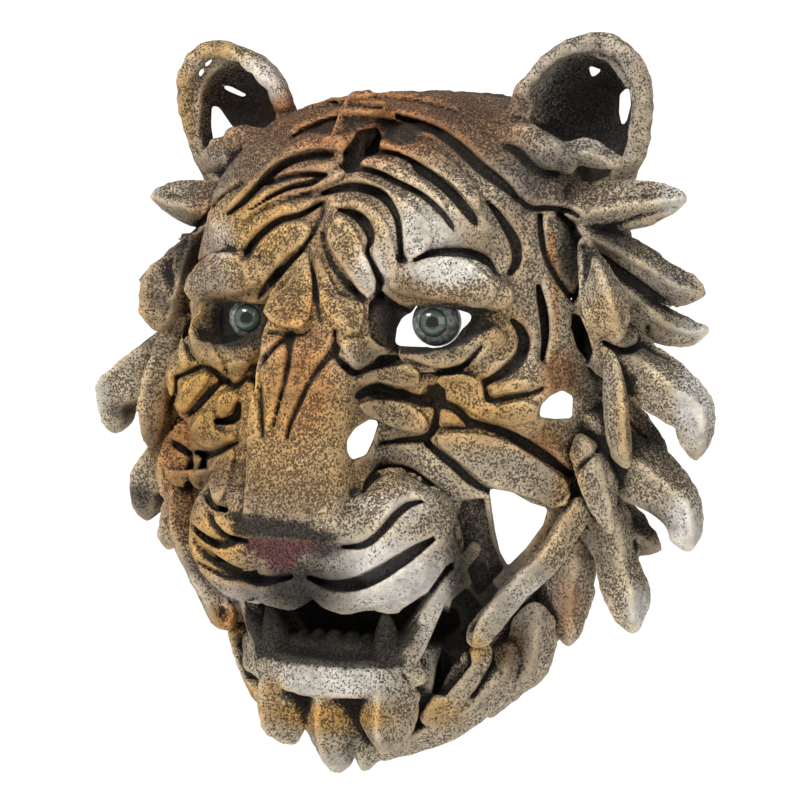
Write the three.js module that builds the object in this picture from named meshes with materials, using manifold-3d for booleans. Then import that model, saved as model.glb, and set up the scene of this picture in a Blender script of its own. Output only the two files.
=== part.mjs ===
// Tiger head wall plaque: a hollow, openwork head cast in one, with two eyeballs seated behind its lids.
// Millimetres, +Z up, the wall is the plane y = 0 and the face looks along -Y.
// The origin is on the flat back of the crown's rim, where the plaque hangs.
import * as THREE from "three";
import { mergeVertices } from "three/addons/utils/BufferGeometryUtils.js";
import Module from "manifold-3d";

const wasm = await Module();
wasm.setup();

// Driving dimensions of the casting.
const MASK_WIDTH = 420; // across the tips of the ruff
const MASK_HEIGHT = 440; // from the ears to the chin beard
const MASK_DEPTH = 190; // from the wall to the nose
const WALL = 8; // of the hollow head
const MOUTH_WALL = 8; // of the cup behind the teeth
const EAR_WALL = 6.5; // of the hollow ears
const EAR_RIM_RADIUS = 6.5; // of the rounded rim around an ear
const GROOVE_WIDTH = 7; // of a carved stripe
const GROOVE_DEPTH = 7;
const CANINE_LENGTH = 24;
const HANG_PAD_WIDTH = 70; // the flat thickening of the rim that hangs on the wall
const HANG_PAD_HEIGHT = 26;
const HANG_PAD_DEPTH = 14;

// Driving dimensions of the eyes.
const EYE_DIAMETER = 30;
const EYE_CLEARANCE = 0.3; // between an eyeball and its seat

// The sculpture is laid out on a head of this size, and follows the three overall sizes.
const LAID_OUT = { width: 420, height: 440, depth: 190 };
const ACROSS = MASK_WIDTH / LAID_OUT.width;
const UPRIGHT = MASK_HEIGHT / LAID_OUT.height;
const OUTWARD = MASK_DEPTH / LAID_OUT.depth;
const OVERALL = (ACROSS + UPRIGHT + OUTWARD) / 3;

// The skull is half of a ball squared by an exponent, given by its half sizes and its centre's height.
const SKULL = { x: 150, forward: 130, z: 184, centre: 4 };
const SKULL_SQUARENESS = 3;
const CROWN = (SKULL.centre + SKULL.z) * UPRIGHT;
const HANG_HEIGHT = CROWN - HANG_PAD_HEIGHT / 2;

const SIDES = [
  { name: "left", sign: 1 },
  { name: "right", sign: -1 },
];

// The forms that swell out of the skull. A dome is given by its middle and half sizes, across, forward and up.
// A ridge runs along [x, z] points, with its crest's height and its half width at each of them; the larger its
// edge exponent, the flatter its top and the steeper its flanks.
const DOMES = [
  { name: "muzzle", middle: [46, 140, -72], half: [42, 38, 40] },
  { name: "inner brow", middle: [24, 122, 92], half: [24, 14, 28] },
  { name: "outer brow", middle: [54, 112, 110], half: [36, 14, 24] },
  { name: "cheek", middle: [88, 102, 12], half: [42, 21, 34] },
  { name: "jaw", middle: [22, 104, -160], half: [44, 36, 40] },
];
const RIDGES = [
  { line: [[0, 172], [0, 112], [0, 82], [0, 44]], crest: [104, 133, 143, 156], half: [13, 18, 21, 25], edge: 2, fall: 12 },
  { line: [[0, 50], [0, 24], [0, -57], [0, -76]], crest: [150, 172, 187, 188], half: [20, 31, 34, 35], edge: 8, fall: 50 },
  { line: [[0, -74], [0, -92]], crest: [186, 172], half: [28, 12], edge: 4, fall: 30 },
  { line: [[-54, -147], [0, -154], [54, -147]], crest: [128, 149, 128], half: [12, 13, 12], edge: 5, fall: 26 },
];
const CREST_REACH = 1.15; // how far past its half width a ridge still lifts the face

// Locks of fur, [x, forward, z] at root and tip, with half widths at both ends, half a thickness, and how far
// the middle bows upward: the outer row of the ruff from the ear down, the clubs in front of it, and the beard.
const RUFF = [
  { root: [122, 52, 114], tip: [186, 42, 122], wide: [22, 10], thick: 15, bow: 5 },
  { root: [128, 50, 96], tip: [195, 37, 67], wide: [22, 10], thick: 15, bow: 9 },
  { root: [140, 44, 66], tip: [197, 29, 46], wide: [19, 9], thick: 13, bow: 7 },
  { root: [140, 58, 30], tip: [206, 62, -20], wide: [28, 14], thick: 17, bow: 16 },
  { root: [138, 56, -18], tip: [199, 56, -79], wide: [27, 14], thick: 17, bow: 15 },
  { root: [128, 54, -62], tip: [165, 56, -124], wide: [25, 13], thick: 16, bow: 8 },
  { root: [104, 52, -92], tip: [118, 50, -140], wide: [25, 13], thick: 15, bow: 0 },
];
const CLUBS = [
  { root: [130, 68, 92], tip: [168, 74, 40], wide: [14, 14], thick: 14, bow: 4 },
  { root: [148, 72, 42], tip: [164, 74, -28], wide: [12, 8], thick: 13, bow: 4 },
  { root: [136, 80, -20], tip: [158, 80, -68], wide: [18, 9], thick: 13, bow: 4 },
  { root: [120, 76, -96], tip: [95, 76, -168], wide: [14, 10], thick: 13, bow: 0 },
  { root: [98, 74, -130], tip: [76, 80, -194], wide: [16, 9], thick: 13, bow: 0 },
];
const BEARD = [
  { root: [33, 118, -158], tip: [30, 114, -204], wide: [17, 13], thick: 14, bow: 0 },
  { root: [60, 100, -156], tip: [52, 94, -203], wide: [17, 13], thick: 13, bow: 0 },
];
const LOCK_RINGS = [0.1, 0.45, 0.8, 1]; // a lock's sections stand at these shares of its length
const CHIN = { root: [0, 118, -164], tip: [0, 112, -217], wide: [20, 14], thick: 14, bow: 0 };

// Carved stripes on one side of the face, as lines of [x, z] over it, with a share of the groove's width.
const STRIPES = [
  { line: [[6, 127], [25, 125], [38, 115], [44, 94]], width: 1 },
  { line: [[2, 142], [30, 138], [58, 122], [75, 107]], width: 1 },
  { line: [[44, 142], [66, 130], [86, 110]], width: 1.4 },
  { line: [[26, 156], [55, 157], [82, 142], [103, 122]], width: 1 },
  { line: [[90, 120], [106, 104], [107, 82]], width: 1.4 },
  { line: [[9, 116], [22, 102], [31, 76]], width: 1 },
  { line: [[52, 94], [74, 97], [97, 86]], width: 1 },
  { line: [[110, 54], [114, 38], [94, 18]], width: 1.4 },
  { line: [[119, 72], [124, 52], [121, 31]], width: 1.8 },
  { line: [[132, 104], [134, 68]], width: 2.4 },
];

// Overlapping scales of the cheek, from the nose outward: each is a short flat bar.
const CHEEK_SCALES = [
  { line: [[38, 140, 18], [57, 131, 22]], wide: 8 },
  { line: [[36, 141, -2], [61, 130, -8]], wide: 9 },
  { line: [[68, 128, 19], [99, 118, 3]], wide: 9 },
  { line: [[92, 119, 18], [119, 107, 12]], wide: 6 },
  { line: [[96, 116, 1], [122, 103, 0]], wide: 7 },
  { line: [[72, 126, -16], [102, 114, -26], [128, 93, -48]], wide: 12 },
];
const SCALE_THICKNESS = 9;

// The eyes look out between two heavy lids.
const EYE_PLACE = [62, 116, 52];
const EYE_RADIUS = EYE_DIAMETER / 2;
const UPPER_LID = [[36, 127, 64], [60, 131, 74], [84, 125, 75], [104, 116, 63]];
const LOWER_LID = [[42, 126, 43], [60, 130, 33], [80, 125, 33], [100, 116, 45]];

// An ear is a cup with a rounded rim: its middle, half sizes and the degrees it turns outward.
const EAR_PLACE = [119, 40, 172];
const EAR_HALF = { across: 42, deep: 38, up: 49 };
const EAR_TURN = 30;

// The windows beside the nose and through the cheek are cut along the degrees that the cheek turns outward.
const CHEEK_TURN = 28;
const INCISORS = 6;
const INCISOR_PITCH = 10;

// A point of the layout: across from the middle, forward of the wall, and up.
function at(x, forward, z) {
  return new THREE.Vector3(x * ACROSS, -forward * OUTWARD, z * UPRIGHT - HANG_HEIGHT);
}

// The same for a list of [x, forward, z], on one side of the head.
function along(points, sign = 1) {
  return points.map(([x, forward, z]) => at(sign * x, forward, z));
}

// A closed geometry as a solid: only its positions are kept, and shared corners are merged.
function solidOf(geometry) {
  const bare = geometry.index ? geometry.toNonIndexed() : geometry.clone();
  for (const name of Object.keys(bare.attributes)) {
    if (name !== "position") bare.deleteAttribute(name);
  }
  const merged = mergeVertices(bare, 1e-3);
  return new wasm.Manifold(
    new wasm.Mesh({
      numProp: 3,
      vertProperties: merged.attributes.position.array,
      triVerts: new Uint32Array(merged.index.array),
    }),
  );
}

function geometryOf(solid) {
  const { vertProperties, numProp, triVerts } = solid.getMesh();
  const interleaved = new THREE.InterleavedBuffer(vertProperties, numProp);
  const geometry = new THREE.BufferGeometry()
    .setAttribute("position", new THREE.InterleavedBufferAttribute(interleaved, 3, 0))
    .setIndex(new THREE.BufferAttribute(triVerts, 1));
  return geometry.toNonIndexed();
}

function joined(solids) {
  return solids.reduce((all, solid) => all.add(solid));
}

function without(body, cuts) {
  return cuts.reduce((left, cut) => left.subtract(cut), body);
}

// How far the bare skull stands forward of the wall at (x, z) of the layout.
function skullForward(x, z) {
  const share =
    Math.abs(x / SKULL.x) ** SKULL_SQUARENESS + Math.abs((z - SKULL.centre) / SKULL.z) ** SKULL_SQUARENESS;
  return SKULL.forward * Math.max(0, 1 - share) ** (1 / SKULL_SQUARENESS);
}

// The skull's half width at a height, as a share of its full half width.
function skullShare(z) {
  const share = Math.abs((z - SKULL.centre) / SKULL.z);
  return Math.max(0, 1 - share ** SKULL_SQUARENESS) ** (1 / SKULL_SQUARENESS);
}

// The skull's outward direction at a point of the layout.
function skullNormal(x, forward, z) {
  const slope = (distance, half) => (Math.sign(distance) * Math.abs(distance / half) ** (SKULL_SQUARENESS - 1)) / half;
  return new THREE.Vector3(
    slope(x, SKULL.x),
    -slope(forward, SKULL.forward),
    slope(z - SKULL.centre, SKULL.z),
  ).normalize();
}

function domeForward(x, z, { middle, half }) {
  const left = 1 - ((Math.abs(x) - middle[0]) / half[0]) ** 2 - ((z - middle[2]) / half[2]) ** 2;
  return left > 0 ? middle[1] + half[1] * Math.sqrt(left) : 0;
}

function ridgeForward(x, z, { line, crest, half, edge, fall }) {
  let highest = 0;
  for (let i = 0; i + 1 < line.length; i++) {
    const [[x0, z0], [x1, z1]] = [line[i], line[i + 1]];
    const run = (x1 - x0) ** 2 + (z1 - z0) ** 2;
    const share = THREE.MathUtils.clamp(((x - x0) * (x1 - x0) + (z - z0) * (z1 - z0)) / run, 0, 1);
    const away = Math.hypot(x - x0 - share * (x1 - x0), z - z0 - share * (z1 - z0));
    const across = away / THREE.MathUtils.lerp(half[i], half[i + 1], share);
    if (across < CREST_REACH) {
      highest = Math.max(highest, THREE.MathUtils.lerp(crest[i], crest[i + 1], share) - fall * across ** edge);
    }
  }
  return highest;
}

// How far the face stands forward of the wall at (x, z) of the layout.
function faceForward(x, z) {
  const domes = DOMES.map((dome) => domeForward(x, z, dome));
  const ridges = RIDGES.map((ridge) => ridgeForward(x, z, ridge));
  return Math.max(skullForward(x, z), ...domes, ...ridges);
}

// A solid between the wall and a relief, on columns that follow the skull's sides and on rows from crown to
// chin. The inset draws its sides in, the relief gives its height in layout millimetres at (x, z), and it
// reaches behind the wall by a length.
function reliefSolid(columns, rows, inset, relief, behind) {
  const places = rows.flatMap((row) => {
    const z = SKULL.centre + row * (SKULL.z - inset / UPRIGHT);
    const wide = Math.max(SKULL.x * skullShare(SKULL.centre + row * SKULL.z) - inset / ACROSS, 1);
    return columns.map((column) => at(column * wide, Math.max(relief(column * wide, z), 0), z));
  });
  const [across, down] = [columns.length, rows.length];
  const faces = [];
  for (let r = 0; r + 1 < down; r++) {
    for (let c = 0; c + 1 < across; c++) {
      const a = r * across + c;
      faces.push(a, a + across, a + across + 1, a, a + across + 1, a + 1);
    }
  }
  // The rim goes round once, back to the wall's side, where a fan from the middle closes it.
  const rim = [
    ...columns.map((_, c) => c),
    ...rows.slice(1).map((_, r) => (r + 1) * across + across - 1),
    ...columns.slice(1).map((_, c) => (down - 1) * across + across - 2 - c),
    ...rows.slice(2).map((_, r) => (down - 2 - r) * across),
  ];
  const back = places.length;
  const middle = back + rim.length;
  rim.forEach((place, i) => {
    const next = (i + 1) % rim.length;
    faces.push(place, rim[next], back + next, place, back + next, back + i);
    faces.push(middle, back + i, back + next);
  });
  const corners = [...places, ...rim.map((place) => places[place].clone().setY(behind)), at(0, 0, 0).setY(behind)];
  const geometry = new THREE.BufferGeometry()
    .setAttribute("position", new THREE.Float32BufferAttribute(corners.flatMap((v) => v.toArray()), 3))
    .setIndex(faces);
  return solidOf(geometry);
}

// A ball's corners pushed out to one that is squared by an exponent, and stretched to its half sizes.
function squaredBall(centre, half, squareness, around, down) {
  const ball = new THREE.SphereGeometry(1, around, down);
  const place = ball.getAttribute("position");
  const corner = new THREE.Vector3();
  for (let i = 0; i < place.count; i++) {
    corner.fromBufferAttribute(place, i);
    const sum = corner.toArray().reduce((total, share) => total + Math.abs(share) ** squareness, 0);
    corner.multiplyScalar(sum ** (-1 / squareness)).multiply(half).add(centre);
    place.setXYZ(i, corner.x, corner.y, corner.z);
  }
  return solidOf(ball);
}

// A rounded lump at [x, forward, z], with half sizes across, forward and up.
function lump(place, half, sign = 1) {
  const size = new THREE.Vector3(half[0] * ACROSS, half[1] * OUTWARD, half[2] * UPRIGHT);
  return squaredBall(at(sign * place[0], place[1], place[2]), size, 2, 9, 6);
}

// A bar that follows a smooth line through points. Its section is an oval or, with more squareness, a rounded
// rectangle: half widths across the line, and half heights along `facing`, both given at the points. The first
// corner of the section stands at an angle from the width, and the rings at shares of the line.
function bar(points, widths, heights, options = {}) {
  const { facing = new THREE.Vector3(0, -1, 0), sides = 6, squareness = 2, steps = points.length } = options;
  const { first = Math.PI / sides, shares = Array.from({ length: steps + 1 }, (_, i) => i / steps) } = options;
  const line = new THREE.CatmullRomCurve3(points, false, "centripetal");
  const sizeAt = (list, share) => {
    const place = share * (list.length - 1);
    const before = Math.min(list.length - 2, Math.floor(place));
    return THREE.MathUtils.lerp(list[before], list[before + 1], place - before);
  };
  const corners = [];
  for (const share of shares) {
    const centre = line.getPoint(share);
    const ahead = line.getTangent(share);
    const up = facing.clone().addScaledVector(ahead, -facing.dot(ahead)).normalize();
    const sideways = new THREE.Vector3().crossVectors(ahead, up);
    const width = sizeAt(widths, share) * OVERALL;
    const height = sizeAt(heights, share) * OVERALL;
    for (let side = 0; side < sides; side++) {
      const turn = first + (2 * Math.PI * side) / sides;
      const [c, s] = [Math.cos(turn), Math.sin(turn)];
      const reach = (Math.abs(c) ** squareness + Math.abs(s) ** squareness) ** (-1 / squareness);
      const corner = centre
        .clone()
        .addScaledVector(sideways, width * c * reach)
        .addScaledVector(up, height * s * reach);
      corners.push(corner.x, corner.y, corner.z);
    }
  }
  const faces = [];
  for (let step = 0; step + 1 < shares.length; step++) {
    for (let side = 0; side < sides; side++) {
      const a = step * sides + side;
      const b = step * sides + ((side + 1) % sides);
      faces.push(a, a + sides, b, b, a + sides, b + sides);
    }
  }
  const last = (shares.length - 1) * sides;
  for (let side = 1; side < sides - 1; side++) {
    faces.push(0, side, side + 1);
    faces.push(last, last + side + 1, last + side);
  }
  const geometry = new THREE.BufferGeometry()
    .setAttribute("position", new THREE.Float32BufferAttribute(corners, 3))
    .setIndex(faces);
  return solidOf(geometry);
}

// A lock of fur: a flattened horn that bows upward on its way from root to tip.
function lock({ root, tip, wide, thick, bow }, sign = 1) {
  const middle = root.map((value, i) => value * 0.45 + tip[i] * 0.55);
  middle[2] += bow;
  const widths = [wide[0], wide[0] * 0.85, wide[0] * 0.6 + wide[1] * 0.4, wide[1], wide[1] * 0.55];
  const thicks = [thick, thick, thick * 0.9, thick * 0.7, thick * 0.35];
  return bar(along([root, middle, tip], sign), widths, thicks, { sides: 5, shares: LOCK_RINGS });
}

// A gouge cuts with a three-cornered bar, one corner down.
const GOUGE = { sides: 3, first: -Math.PI / 2 };

// A carved stripe: a gouge that runs along the face through points [x, z].
function stripe({ line, width }, sign = 1) {
  const places = line.map(([x, z]) => [x, faceForward(x, z), z]);
  const [x, forward, z] = places[Math.floor(places.length / 2)];
  const half = (width * GROOVE_WIDTH) / Math.sqrt(3) / OVERALL;
  const widths = places.map((_, i) => (i === 0 || i === places.length - 1 ? half / 2 : half) * 1.5);
  return bar(along(places, sign), widths, places.map(() => GROOVE_DEPTH / OVERALL), {
    ...GOUGE,
    facing: skullNormal(sign * x, forward, z),
    steps: places.length - 1,
  });
}

// A straight window cut through the casting: an outline in the plane that faces the azimuth, in layout
// millimetres about its centre, carried both ways along that direction.
function opening(place, outline, azimuth, reach, sign = 1) {
  const shape = new THREE.Shape(outline.map(([x, z]) => new THREE.Vector2(sign * x * ACROSS, z * UPRIGHT)));
  const cut = new THREE.ExtrudeGeometry(shape, { depth: 2 * reach * OUTWARD, bevelEnabled: false });
  const centre = at(sign * place[0], place[1], place[2]);
  cut
    .translate(0, 0, -reach * OUTWARD)
    .rotateX(Math.PI / 2)
    .rotateZ(sign * THREE.MathUtils.degToRad(azimuth))
    .translate(centre.x, centre.y, centre.z);
  return solidOf(cut);
}

function earPiece(geometry, sign) {
  const centre = at(sign * EAR_PLACE[0], EAR_PLACE[1], EAR_PLACE[2]);
  const turn = sign * THREE.MathUtils.degToRad(EAR_TURN);
  return solidOf(geometry.rotateZ(turn).translate(centre.x, centre.y, centre.z));
}

function earBall(margin, sign) {
  const ball = new THREE.SphereGeometry(1, 11, 6).scale(
    EAR_HALF.across * ACROSS - margin,
    EAR_HALF.deep * OUTWARD - margin,
    EAR_HALF.up * UPRIGHT - margin,
  );
  return earPiece(ball, sign);
}

function earFront(sign) {
  const size = 4 * Math.max(EAR_HALF.up * UPRIGHT, EAR_HALF.across * ACROSS, EAR_HALF.deep * OUTWARD);
  return earPiece(new THREE.BoxGeometry(size, size, size).translate(0, -size / 2, 0), sign);
}

function earRim(sign) {
  const [across, up] = [EAR_HALF.across * ACROSS - EAR_WALL / 2, EAR_HALF.up * UPRIGHT - EAR_WALL / 2];
  const rim = new THREE.TorusGeometry(1, EAR_RIM_RADIUS / up, 5, 12).rotateX(Math.PI / 2).scale(across, up, up);
  return earPiece(rim, sign);
}

function eyeball(margin, sign) {
  const centre = at(sign * EYE_PLACE[0], EYE_PLACE[1], EYE_PLACE[2]);
  const ball = new THREE.SphereGeometry(EYE_RADIUS + margin, 12, 6).rotateX(Math.PI / 2);
  return solidOf(ball.translate(centre.x, centre.y, centre.z));
}

// Rows and columns of a relief lie closer together near the rim, where it turns to the wall.
function mirrored(shares) {
  return [...shares.slice(1).map((share) => -share).reverse(), ...shares];
}

function crownToChin(count) {
  const squeeze = 0.43 * Math.PI;
  return Array.from({ length: count }, (_, i) => Math.sin((1 - (2 * i) / (count - 1)) * squeeze) / Math.sin(squeeze));
}

const FACE_COLUMNS = mirrored([0, 0.1, 0.2, 0.24, 0.34, 0.46, 0.58, 0.7, 0.83, 0.95, 1]);
const HOLLOW_COLUMNS = mirrored([0, 0.14, 0.3, 0.6, 0.88, 1]);
const FACE_ROWS = crownToChin(25);
const HOLLOW_ROWS = crownToChin(11);

// The head, still solid behind.
const skull = reliefSolid(FACE_COLUMNS, FACE_ROWS, 0, faceForward, 0);
const jawBar = [[136, 78, -60], [124, 94, -85], [105, 104, -107], [84, 110, -134]];
const solidHead = joined([
  skull,
  lock(CHIN),
  ...SIDES.flatMap(({ sign }) => [
    ...CHEEK_SCALES.map(({ line, wide }) =>
      bar(along(line, sign), line.map(() => wide), line.map(() => SCALE_THICKNESS), {
        facing: skullNormal(sign * line[0][0], line[0][1], line[0][2]),
        sides: 4,
        squareness: 6,
        steps: line.length - 1,
      }),
    ),
    bar(along(jawBar, sign), [8, 8, 8, 6], [10, 11, 11, 9], { sides: 5, steps: 3 }),
    ...[...RUFF, ...CLUBS, ...BEARD].map((fur) => lock(fur, sign)),
  ]),
]);

// The hollow behind the face keeps the wall everywhere: it follows the lowest face within a wall's reach.
const WALL_REACH = WALL / OVERALL;
function hollowForward(x, z) {
  const steps = [-1, 0, 1];
  const around = steps.flatMap((i) => steps.map((j) => faceForward(x + i * WALL_REACH, z + j * WALL_REACH)));
  return Math.min(...around) - WALL_REACH;
}
const hollow = reliefSolid(HOLLOW_COLUMNS, HOLLOW_ROWS, WALL, hollowForward, WALL);

// The mouth: a cup with its own wall behind the teeth, open between the muzzle and the lower lip.
function mouthForm(margin) {
  const half = new THREE.Vector3(62 * ACROSS + margin, 46 * OUTWARD + margin, 15 * UPRIGHT + margin);
  return squaredBall(at(0, 104, -127), half, 3, 8, 6);
}
const mouthFront = bar(along([[-54, 132, -126], [0, 150, -127], [54, 132, -126]]), [10, 13, 10], [24, 30, 24], {
  squareness: 4,
  steps: 2,
});
const gumLine = [[56, 104, -141], [34, 126, -142], [0, 132, -143], [-34, 126, -142], [-56, 104, -141]];
const gums = bar(along(gumLine), [6, 6, 6, 6, 6], [9, 9, 9, 9, 9], { sides: 5, steps: 4 });
function tooth(x, forward, height, radius) {
  const foot = -141;
  const sizes = [radius, radius * 0.6];
  return bar(along([[x, forward, foot], [x, forward + 1, foot + height]]), sizes, sizes, { sides: 4, steps: 1 });
}
const teeth = joined([
  ...SIDES.map(({ sign }) => tooth(sign * 37, 126, CANINE_LENGTH / UPRIGHT, 6.5)),
  ...Array.from({ length: INCISORS }, (_, i) => tooth((i - (INCISORS - 1) / 2) * INCISOR_PITCH, 130, 12, 4.2)),
]);

const ears = joined(SIDES.map(({ sign }) => earBall(0, sign).subtract(earFront(sign)).add(earRim(sign))));
const earCups = SIDES.flatMap(({ sign }) => [
  earBall(EAR_WALL, sign),
  opening([102, 14, 190], [[-8, 10], [10, 14], [2, -8]], 16, 34, sign),
  opening([142, 14, 172], [[-5, 20], [5, 16], [6, -18], [-3, -14]], CHEEK_TURN, 34, sign),
]);

const lids = joined(
  SIDES.flatMap(({ sign }) => [
    bar(along(UPPER_LID, sign), [5, 14, 13, 6], [9, 10, 10, 8], { steps: 3 }),
    bar(along(LOWER_LID, sign), [6, 7, 7, 6], [9, 9, 9, 8], { sides: 5, steps: 3 }),
  ]),
);
const sockets = SIDES.map(({ sign }) => lump([63, 122, 52], [29, 50, 15], sign));
const windows = SIDES.flatMap(({ sign }) => [
  opening([36, 155, -18], [[-6, 13], [10, 13], [4, -10], [-9, -13], [-12, 0]], CHEEK_TURN, 24, sign),
  opening([127, 90, 4], [[-9, 3], [9, 9], [10, -8], [-9, -8]], CHEEK_TURN, 30, sign),
  opening([108, 102, -62], [[-15, 20], [20, 10], [17, -2], [-4, -28], [-13, -6]], CHEEK_TURN, 30, sign),
]);
const carving = SIDES.flatMap(({ sign }) => [
  ...STRIPES.map((line) => stripe(line, sign)),
  bar(along([[36, 170, -50], [60, 174, -54], [86, 148, -72]], sign), [3, 4, 3], [7, 9, 8], { ...GOUGE, steps: 2 }),
  bar(along([[24, 178, -98], [50, 174, -100], [82, 156, -82]], sign), [4, 7, 5], [8, 11, 9], { ...GOUGE, steps: 2 }),
  bar(along([[10, 168, 26], [21, 176, 6], [25, 186, -30]], sign), [4, 5, 4], [7, 7, 7], { ...GOUGE, steps: 2 }),
  lump([17, 187, -74], [8, 8, 6], sign),
]);
const browCleft = bar(along([[0, 116, 166], [0, 126, 138]]), [6, 5], [22, 14], { ...GOUGE, steps: 1 });
const seats = SIDES.map(({ sign }) => eyeball(EYE_CLEARANCE, sign));

const wallSide = solidOf(
  new THREE.BoxGeometry(4 * MASK_WIDTH, 4 * MASK_DEPTH, 4 * MASK_HEIGHT).translate(0, 2 * MASK_DEPTH, 0),
);
const hangPad = solidOf(
  new THREE.BoxGeometry(HANG_PAD_WIDTH, HANG_PAD_DEPTH, HANG_PAD_HEIGHT).translate(0, -HANG_PAD_DEPTH / 2, 0),
).intersect(skull);

const shell = without(solidHead, [hollow, ...sockets, ...windows]).add(mouthForm(MOUTH_WALL)).add(ears).add(lids);
const casting = without(shell, [mouthForm(0), mouthFront, ...earCups, ...carving, browCleft, ...seats])
  .add(gums)
  .add(teeth)
  .add(hangPad)
  .subtract(wallSide);

const group = new THREE.Group();
const castFinish = new THREE.MeshStandardMaterial({ color: 0xa98d68, roughness: 0.85, metalness: 0 });
const mask = new THREE.Mesh(geometryOf(casting), castFinish);
mask.name = "mask";
group.add(mask);

const eyeFinish = new THREE.MeshStandardMaterial({ color: 0x7d8a78, roughness: 0.15, metalness: 0 });
for (const { name, sign } of SIDES) {
  const eye = new THREE.Mesh(geometryOf(eyeball(0, sign)), eyeFinish);
  eye.name = `eye_${name}`;
  group.add(eye);
}

export default group;
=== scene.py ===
"""Looks of the tiger head wall plaque: a carved, painted casting and two glossy eyeballs in the CAD frame."""
import math
import bpy
import numpy as np
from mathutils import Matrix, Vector


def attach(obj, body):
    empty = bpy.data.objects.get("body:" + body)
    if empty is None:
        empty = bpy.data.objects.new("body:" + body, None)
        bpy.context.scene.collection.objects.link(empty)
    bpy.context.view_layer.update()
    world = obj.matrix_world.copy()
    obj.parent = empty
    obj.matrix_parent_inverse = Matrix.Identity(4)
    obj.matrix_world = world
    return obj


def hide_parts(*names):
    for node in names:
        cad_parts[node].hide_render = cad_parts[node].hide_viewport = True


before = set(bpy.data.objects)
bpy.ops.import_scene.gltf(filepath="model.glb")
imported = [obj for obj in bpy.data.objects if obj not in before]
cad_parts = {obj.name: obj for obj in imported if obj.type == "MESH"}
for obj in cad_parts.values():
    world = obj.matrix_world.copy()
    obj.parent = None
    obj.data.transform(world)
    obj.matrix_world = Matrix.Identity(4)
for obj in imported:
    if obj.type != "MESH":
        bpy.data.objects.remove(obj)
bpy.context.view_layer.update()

# The sculpture is drawn in millimetres: x across, f forward from the wall, z up from the middle of the face.
# A drawn point (x, f, z) stands at (x, -f, z - HANG) in the frame of the part.
HANG = 175.0
STEP = 1.5
LOW, HIGH = (-217.5, -4.5, -225.0), (217.5, 196.5, 231.0)
FAR_OFF = 60.0  # distance taken where nothing is near
MOST_FACES = 194000  # triangles that the casting keeps

# The photograph's camera, which also places what is drawn in pixels of the 800 pixel picture.
TURN, LIFT, FAR, FOCAL, MIDDLE = math.radians(28), math.radians(4), 2000.0, 3279.0, 400.0
AIM_FORWARD = 45.0
BACK = (math.sin(TURN) * math.cos(LIFT), math.cos(TURN) * math.cos(LIFT), math.sin(LIFT))
RIGHT = (math.cos(TURN), -math.sin(TURN), 0.0)
UP = (-math.sin(TURN) * math.sin(LIFT), -math.cos(TURN) * math.sin(LIFT), math.cos(LIFT))
PIXEL = 0.595  # millimetres that a pixel spans at the face
SENSOR = 36.0  # millimetres across the picture inside the camera

AXES = [np.arange(l, h, STEP, dtype=np.float32) for l, h in zip(LOW, HIGH)]
SHAPE = tuple(len(a) for a in AXES)
ORIGIN = np.array([a[0] for a in AXES])
CORNERS = [(a, b, c) for a in (0, 1) for b in (0, 1) for c in (0, 1)]

# The eyeball on the near side, the socket that it lies in, and the cup of the mouth.
EYE, EYE_RADIUS, EYE_SEAT = (62, 116, 52), 14.9, 15.6
MOUTH, MOUTH_HALF, MOUTH_POWER = (0, 104, -127), (62, 46, 15), 3.0


def project(x, f, z):
    """Pixel position of drawn points: offsets along the camera's right and up, over the distance left."""
    g = f - AIM_FORWARD
    s = FOCAL / (FAR - (x * BACK[0] + g * BACK[1] + z * BACK[2]))
    return MIDDLE + s * (x * RIGHT[0] + g * RIGHT[1]), MIDDLE - s * (x * UP[0] + g * UP[1] + z * UP[2])


# ---------------------------------------------------------------------------------- distance fields
def window(low, high):
    """The part of the grid between two corners, and its open axes."""
    cut = []
    for i in range(3):
        a = max(0, int((low[i] - LOW[i]) / STEP))
        b = min(SHAPE[i], int((high[i] - LOW[i]) / STEP) + 2)
        cut.append(slice(a, max(a, b)))
    x, f, z = (AXES[i][cut[i]] for i in range(3))
    return tuple(cut), x[:, None, None], f[None, :, None], z[None, None, :]


def lower(a, b, k):
    """The lower of two distances, rounded off over k millimetres where they are equal."""
    h = np.maximum(k - np.abs(a - b), 0) / k
    return np.minimum(a, b) - h * h * (k * 0.25)


def upper(a, b, k):
    """The higher of two distances, rounded off over k millimetres where they are equal."""
    return -lower(-a, -b, k)


def squared(offsets, halves, power):
    """Distance to a ball squared by a power: its level less one, over the steepness of that level."""
    q = [np.abs(o) / h + 1e-4 for o, h in zip(offsets, halves)]
    low = [v ** (power - 1) for v in q]
    total = q[0] * low[0] + q[1] * low[1] + q[2] * low[2]
    level = total ** (1.0 / power)
    steep = (low[0] / halves[0]) ** 2 + (low[1] / halves[1]) ** 2 + (low[2] / halves[2]) ** 2
    return (level - 1) * level ** (power - 1) / np.sqrt(steep)


def spline(points, parts=5):
    """A smooth curve through rows of any width, each stretch in so many parts."""
    p = np.asarray(points, float)
    p = np.vstack([2 * p[0] - p[1], p, 2 * p[-1] - p[-2]])
    t = np.linspace(0, 1, parts, endpoint=False)[:, None]
    out = [0.5 * (2 * b + (c - a) * t + (2 * a - 5 * b + 4 * c - d) * t ** 2 + (3 * b - a - 3 * c + d) * t ** 3)
           for a, b, c, d in zip(p[:-3], p[1:-2], p[2:-1], p[3:])]
    return np.vstack(out + [p[-2][None]])


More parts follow.
